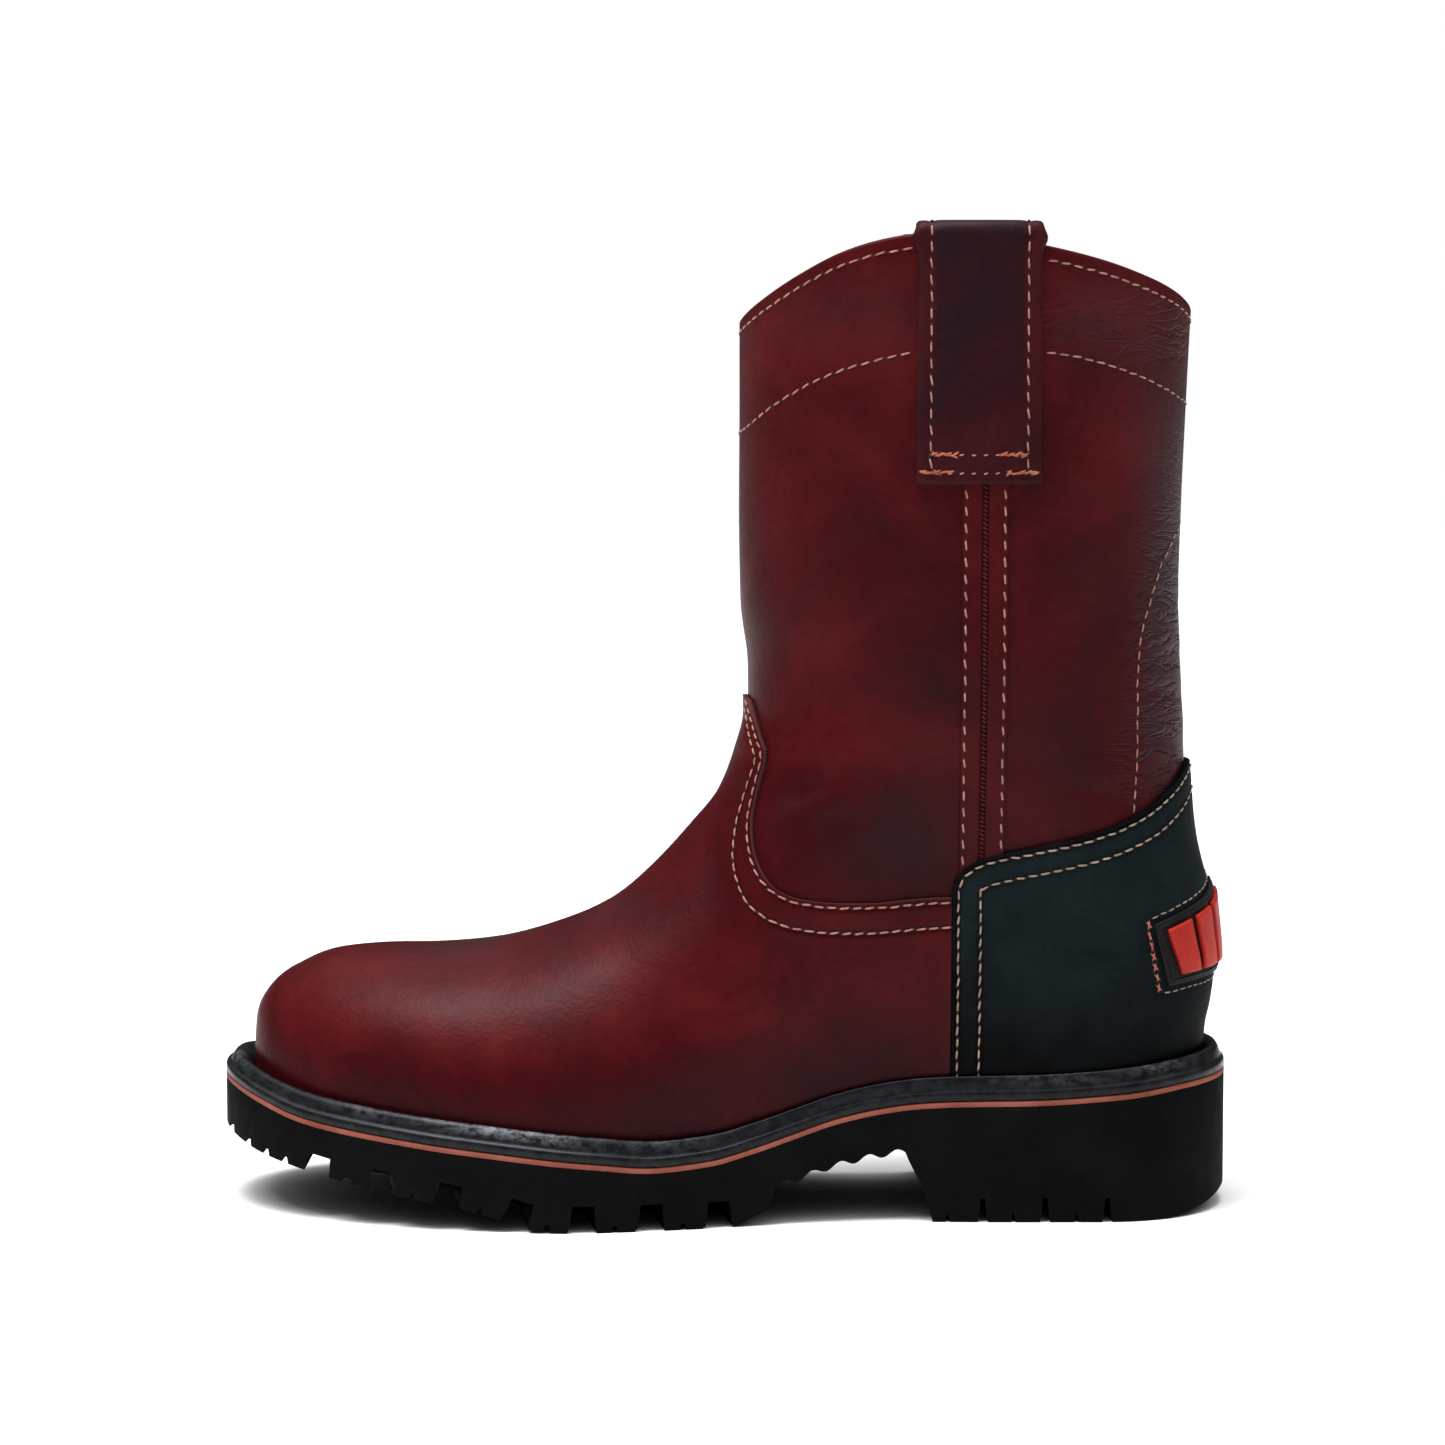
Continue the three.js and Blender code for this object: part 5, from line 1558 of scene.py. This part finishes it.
def make_border():
    """A narrow raised line inside the badge's edge."""
    points, normals = badge_outline(1.5, 1.5, PLATE_OUTSIDE)
    on = np.roll(points, -1, 0) - np.roll(points, 1, 0)
    across = unit(np.cross(normals, on))
    rings = [points + across * w * BORDER_WIDTH + normals * h for w, h in BORDER_PROFILE]
    rings = np.array(rings).transpose(1, 0, 2)
    finish_piece(tube("badge_border", rings, [BADGE_RUBBER], caps=False))


make_border()


# Stitches: each is a small rounded thread that dips into the leather at both ends.
# Its form: place along, share of the radius, dip
THREAD_PROFILE = [
    (-1, 0.15, -0.9), (-0.93, 0.62, -0.55), (-0.7, 0.95, -0.05), (-0.3, 1, 0.2),
    (0.3, 1, 0.2), (0.7, 0.95, -0.05), (0.93, 0.62, -0.55), (1, 0.15, -0.9),
]
THREAD_SIDES = HOLE_SIDES = 7
# Rows: pitch, stitch length, thread radius, slant
VAMP_SEWING = (3.7, 2.75, 0.31, 0.07)
COUNTER_SEWING = (3.7, 2.7, 0.3, -0.08)
BADGE_SEWING = (3.1, 2.2, 0.24)
BADGE_END_SEWING = [(3.1, 2.5, 0.28, 0.55), (3.1, 2.5, 0.28, -0.2)]
COLLAR_SEWING = (4.0, 2.9, 0.29, 0.08)
BACK_SEWING = (4.0, 2.8, 0.26)
SIDE_SEWING = (4.9, 2.9, 0.31, 0.12)
OVERLOCK_SEWING = (1.3, 2.0, 0.44, 1.05)
STRAP_SEWING = (4.75, 3.0, 0.3, 0.1)
STRAP_FOOT_SEWING = (3.3, 1.7, 0.27, 0.2)
STRAP_TACK_SEWING = [(1.9, 2.4, 0.33, 0.35), (2.6, 2.6, 0.3, -0.25)]
SIDE_ROWS_FROM_SEAM = 5.6


def thread_template():
    angle = np.arange(THREAD_SIDES) / THREAD_SIDES * 2 * math.pi
    return np.array([
        np.stack([
            np.full(THREAD_SIDES, along), radius * np.cos(angle),
            radius * np.sin(angle) * 0.8 + dip,
        ], -1)
        for along, radius, dip in THREAD_PROFILE
    ])


THREAD = thread_template()


def stitch_row(points, normals, pitch, length, radius, slant=0.0):
    """Centres, directions and normals of the stitches along a row."""
    lengths = lengths_along(points)
    count = max(1, int(lengths[-1] / pitch))
    at = (np.arange(count) + 0.5) * (lengths[-1] / count)

    def pick(values, where):
        return np.stack([np.interp(where, lengths, values[:, k]) for k in range(3)], -1)

    on = unit(pick(points, at + 0.4) - pick(points, at - 0.4))
    normal = pick(normals, at)
    normal = unit(normal - on * np.sum(on * normal, 1, keepdims=True))
    turned = on * math.cos(slant) + np.cross(normal, on) * math.sin(slant)
    return pick(points, at), turned, np.cross(normal, turned), normal, length / 2, radius


def make_stitches(name, rows, material, holes=True, loose=0.06):
    """One mesh of all the stitches of some rows, with dark cones of painted shade at their needle
    holes.
    """
    rng = np.random.default_rng(len(name) * 7 + len(rows))
    points, faces, indices = [], [], []
    rings, sides = THREAD.shape[:2]
    for centre, on, across, normal, half, radius in rows:
        for c, a, b, n in zip(centre, on, across, normal):
            tilt = rng.normal(0, loose)
            c = c + b * rng.normal(0, loose) * 0.8
            a, b = a * math.cos(tilt) + b * math.sin(tilt), b * math.cos(tilt) - a * math.sin(tilt)
            size = half * rng.uniform(0.92, 1.05)
            start = len(points)
            points += list(
                c + THREAD[..., 0:1].reshape(-1, 1) * a * size
                + THREAD[..., 1:2].reshape(-1, 1) * b * radius
                + (THREAD[..., 2:3].reshape(-1, 1) * radius + radius * 0.35) * n
            )
            new = grid_faces(rings, sides, start, around=True)
            new.append([start + k for k in range(sides)][::-1])
            new.append([start + (rings - 1) * sides + k for k in range(sides)])
            faces += new
            indices += [0] * len(new)
            # Painted shade of the needle holes: a small dark double cone at each end
            for end in (-1, 1) if holes else ():
                start = len(points)
                place = c + a * end * size * 1.08 + n * 0.02
                for k in range(HOLE_SIDES):
                    angle = k / HOLE_SIDES * 2 * math.pi
                    ray = a * math.cos(angle) + b * math.sin(angle)
                    points.append(place + ray * radius * 1.3)
                points.append(place + n * 0.1)
                points.append(place - n * 0.5)
                for k in range(HOLE_SIDES):
                    faces.append([start + k, start + (k + 1) % HOLE_SIDES, start + HOLE_SIDES])
                    faces.append([start + (k + 1) % HOLE_SIDES, start + k, start + HOLE_SIDES + 1])
                indices += [1] * (2 * HOLE_SIDES)
    finish_piece(add_mesh(name, points, faces, [material, NEEDLE_HOLE_SHADE], indices))


def row_of(line, side, offset, sewing):
    """A row of stitches along a line of the side view."""
    line = resample(line, pitch=1.0)
    level = level_at(line[:, 0], line[:, 1])
    level, turn = to_middle(level, turn_at(level, line[:, 0]))
    turn = side * turn
    return stitch_row(surface(level, turn, offset), normal_at(level, turn), *sewing)


make_stitches("vamp_stitches", [stitch_row(*row, *VAMP_SEWING) for row in VAMP_STITCHES],
              SALMON_THREAD)
make_stitches("counter_stitches", [stitch_row(*row, *COUNTER_SEWING) for row in COUNTER_STITCHES],
              TAN_THREAD)


def badge_rows():
    """Fine rows above and below the badge and a heavier row at each end."""
    lift = np.linspace(0, 1, 12)
    share = np.linspace(-1.03, 1.03, 120)
    fine = [
        heel_row(badge_arc(share, at), badge_up(share, -2.0, at), COUNTER_OUTSIDE)
        for at in (0.0, 1.0)
    ]
    heavy = [
        heel_row(end * (badge_arc(1, lift) + 2.2), badge_up(end, -1.6, lift), COUNTER_OUTSIDE)
        for end in BOTH
    ]
    return fine, heavy


fine, heavy = badge_rows()
make_stitches("badge_stitches", [stitch_row(*row, *BADGE_SEWING) for row in fine], TAN_THREAD)
make_stitches(
    "badge_end_stitches", [stitch_row(*row, *s) for row in heavy for s in BADGE_END_SEWING],
    ORANGE_THREAD, loose=0.15,
)


def collar_rows():
    """The row under the collar's edge and the facing's row, on both sides of the strap."""
    rows = []
    edge = last_point(float(TOP), np.linspace(0, math.pi, 200))
    for line in (np.stack([edge[:, 0], edge[:, 2] - 3.2], -1), rounded(FACING_LINE)):
        front = line[line[:, 0] < STRAP_X - STRAP_WIDTH / 2 - 0.5]
        back = line[line[:, 0] > STRAP_X + STRAP_WIDTH / 2 + 0.5]
        rows += [row_of(part, side, 0, COLLAR_SEWING) for part in (front, back) for side in BOTH]
    return rows


FACING_LINE = [
    (5.0, 233.9), (16.2, 243), (30.6, 250.8), (44.9, 255.1), (55.8, 257.4), (93.1, 257.4),
    (109, 254.6), (124.9, 249.4), (139.2, 242.4),
]
BACK_LINE = [
    (137.6, 207.5), (130.9, 196.1), (126.6, 184.5), (123.3, 172.8), (122.4, 161), (122.5, 149),
    (122.3, 137), (121.4, 120.8),
]
rows = collar_rows() + [row_of(rounded(BACK_LINE), side, 0, BACK_SEWING) for side in BOTH]
make_stitches("leg_stitches", rows, SALMON_THREAD)

rows = []
for side in BOTH:
    for x in (SEAM_X - SIDE_ROWS_FROM_SEAM, SEAM_X + SIDE_ROWS_FROM_SEAM):
        line = [(x, float(counter_top(x)) + 0.5), (x, STRAP_BOTTOM - 0.5)]
        rows.append(row_of(line, side, 0.1 + SEAM_BAND_THICKNESS, SIDE_SEWING))
make_stitches("side_seam_stitches", rows, SALMON_THREAD)
line = [(SEAM_X, float(counter_top(SEAM_X)) - 1), (SEAM_X, STRAP_BOTTOM + 1)]
rows = [row_of(line, side, 0.42, OVERLOCK_SEWING) for side in BOTH]
make_stitches("side_seam_overlock", rows, SEAM_THREAD, holes=False)


def strap_rows(side):
    """Rows down both sides of the strap, two across its foot, and their back-tacks."""
    path, direction = strap_path()
    keep = slice(3, len(path) - 3)
    path, direction = path[keep], direction[keep]
    lift = STRAP_THICKNESS / 2 - STITCH_DIP * 0.6
    out, z = path[:, 0] + direction[:, 1] * lift, path[:, 1] - direction[:, 0] * lift
    normals = np.stack([0 * z, side * direction[:, 1], -direction[:, 0]], -1)
    rows, tacks = [], []
    for way in BOTH:
        x = np.full(len(z), STRAP_X + way * STRAP_STITCH * STRAP_WIDTH)
        rows.append(stitch_row(strap_place(x, out, z, side), normals, *STRAP_SEWING))
    out = GAP + STRAP_THICKNESS - 0.1
    normals = np.tile([0.0, side, 0.0], (40, 1))
    for height, reach in ((3.1, 0.47), (8.4, STRAP_STITCH)):
        x = np.linspace(STRAP_X - reach * STRAP_WIDTH, STRAP_X + reach * STRAP_WIDTH, 40)
        points = strap_place(x, out, np.full(40, STRAP_BOTTOM + height), side)
        rows.append(stitch_row(points, normals, *STRAP_FOOT_SEWING))
        for part in (slice(0, 12), slice(28, 40)):
            shifted = points[part] + np.array([0, side * 0.15, 0.25])
            tacks += [stitch_row(shifted, normals[part], *s) for s in STRAP_TACK_SEWING]
    return rows, tacks


for side, name in SIDES:
    rows, tacks = strap_rows(side)
    make_stitches("strap_stitches_" + name, rows, SALMON_THREAD)
    make_stitches("strap_tacks_" + name, tacks, ORANGE_THREAD, loose=0.22)

# Floor, light and camera
bpy.ops.mesh.primitive_plane_add(size=12, location=(0, 0, 0))
floor = bpy.context.object
floor.name = "floor"
paper, nodes, links, shader = new_material("floor_paper")
tone = link_noise(nodes, links, 3.0, detail=2)
tone = ramp(nodes, links, tone, [(0.3, (0.86, 0.86, 0.86)), (0.7, (0.88, 0.88, 0.88))])
links.new(tone, shader.inputs["Base Color"])
shader.inputs["Roughness"].default_value = 0.85
shader.inputs["Specular IOR Level"].default_value = 0.1
floor.data.materials.append(paper)

# Sky from its foot to its top: place, grey. Camera rays see plain white instead
SKY_GREYS = [(0.0, 0.03), (0.35, 0.07), (0.65, 0.4), (1.0, 1.9)]
world = bpy.data.worlds.new("studio")
bpy.context.scene.world = world
world.use_nodes = True
nodes, links = world.node_tree.nodes, world.node_tree.links
sky = nodes["Background"]
place = nodes.new("ShaderNodeTexCoord")
split = nodes.new("ShaderNodeSeparateXYZ")
links.new(place.outputs["Generated"], split.inputs["Vector"])
bright = ramp(nodes, links, split.outputs["Z"], [
    (place, (grey, grey, grey)) for place, grey in SKY_GREYS
])
links.new(bright, sky.inputs["Color"])
sky.inputs["Strength"].default_value = 1.0
seen = nodes.new("ShaderNodeBackground")
seen.inputs["Color"].default_value = (1, 1, 1, 1)
path_kind = nodes.new("ShaderNodeLightPath")
either = nodes.new("ShaderNodeMixShader")
links.new(path_kind.outputs["Is Camera Ray"], either.inputs["Fac"])
links.new(sky.outputs["Background"], either.inputs[1])
links.new(seen.outputs["Background"], either.inputs[2])
links.new(either.outputs["Shader"], nodes["World Output"].inputs["Surface"])


sun_data = bpy.data.lights.new("soft_sun", "SUN")
sun_data.energy = 2.4
sun_data.angle = math.radians(32)
sun = bpy.data.objects.new("soft_sun", sun_data)
sun.rotation_euler = (math.radians(3), math.radians(-3), 0)
bpy.context.scene.collection.objects.link(sun)
# Soft boxes: name, place, target, size, power
SOFTBOXES = [
    ("top_softbox", (-0.25, -0.24, 1.1), (-0.03, 0, 0.1), (0.4, 0.4), 7.4),
    ("toe_softbox", (-0.6, -0.35, 1.1), (-0.08, 0, 0.08), (0.35, 0.35), 4.5),
    ("back_softbox", (0.9, -0.4, 0.9), (0.05, 0, 0.2), (0.4, 0.7), 1.5),
]
for name, place, target, size, power in SOFTBOXES:
    data = bpy.data.lights.new(name, "AREA")
    data.shape = "RECTANGLE"
    data.size, data.size_y = size
    data.energy = power
    lamp = bpy.data.objects.new(name, data)
    lamp.location = place
    lamp.rotation_euler = (Vector(target) - Vector(place)).to_track_quat("-Z", "Y").to_euler()
    bpy.context.scene.collection.objects.link(lamp)

CAMERA_DOWN = 4.937
camera_data = bpy.data.cameras.new("camera")
camera = bpy.data.objects.new("camera", camera_data)
bpy.context.scene.collection.objects.link(camera)
camera_data.sensor_width = 36
camera_data.lens = 94.42
camera.location = (-0.0004, -1.150, 0.245)
camera.rotation_euler = (math.radians(90 - CAMERA_DOWN), 0, 0)
bpy.context.scene.camera = camera
bpy.context.scene.view_settings.view_transform = "Standard"
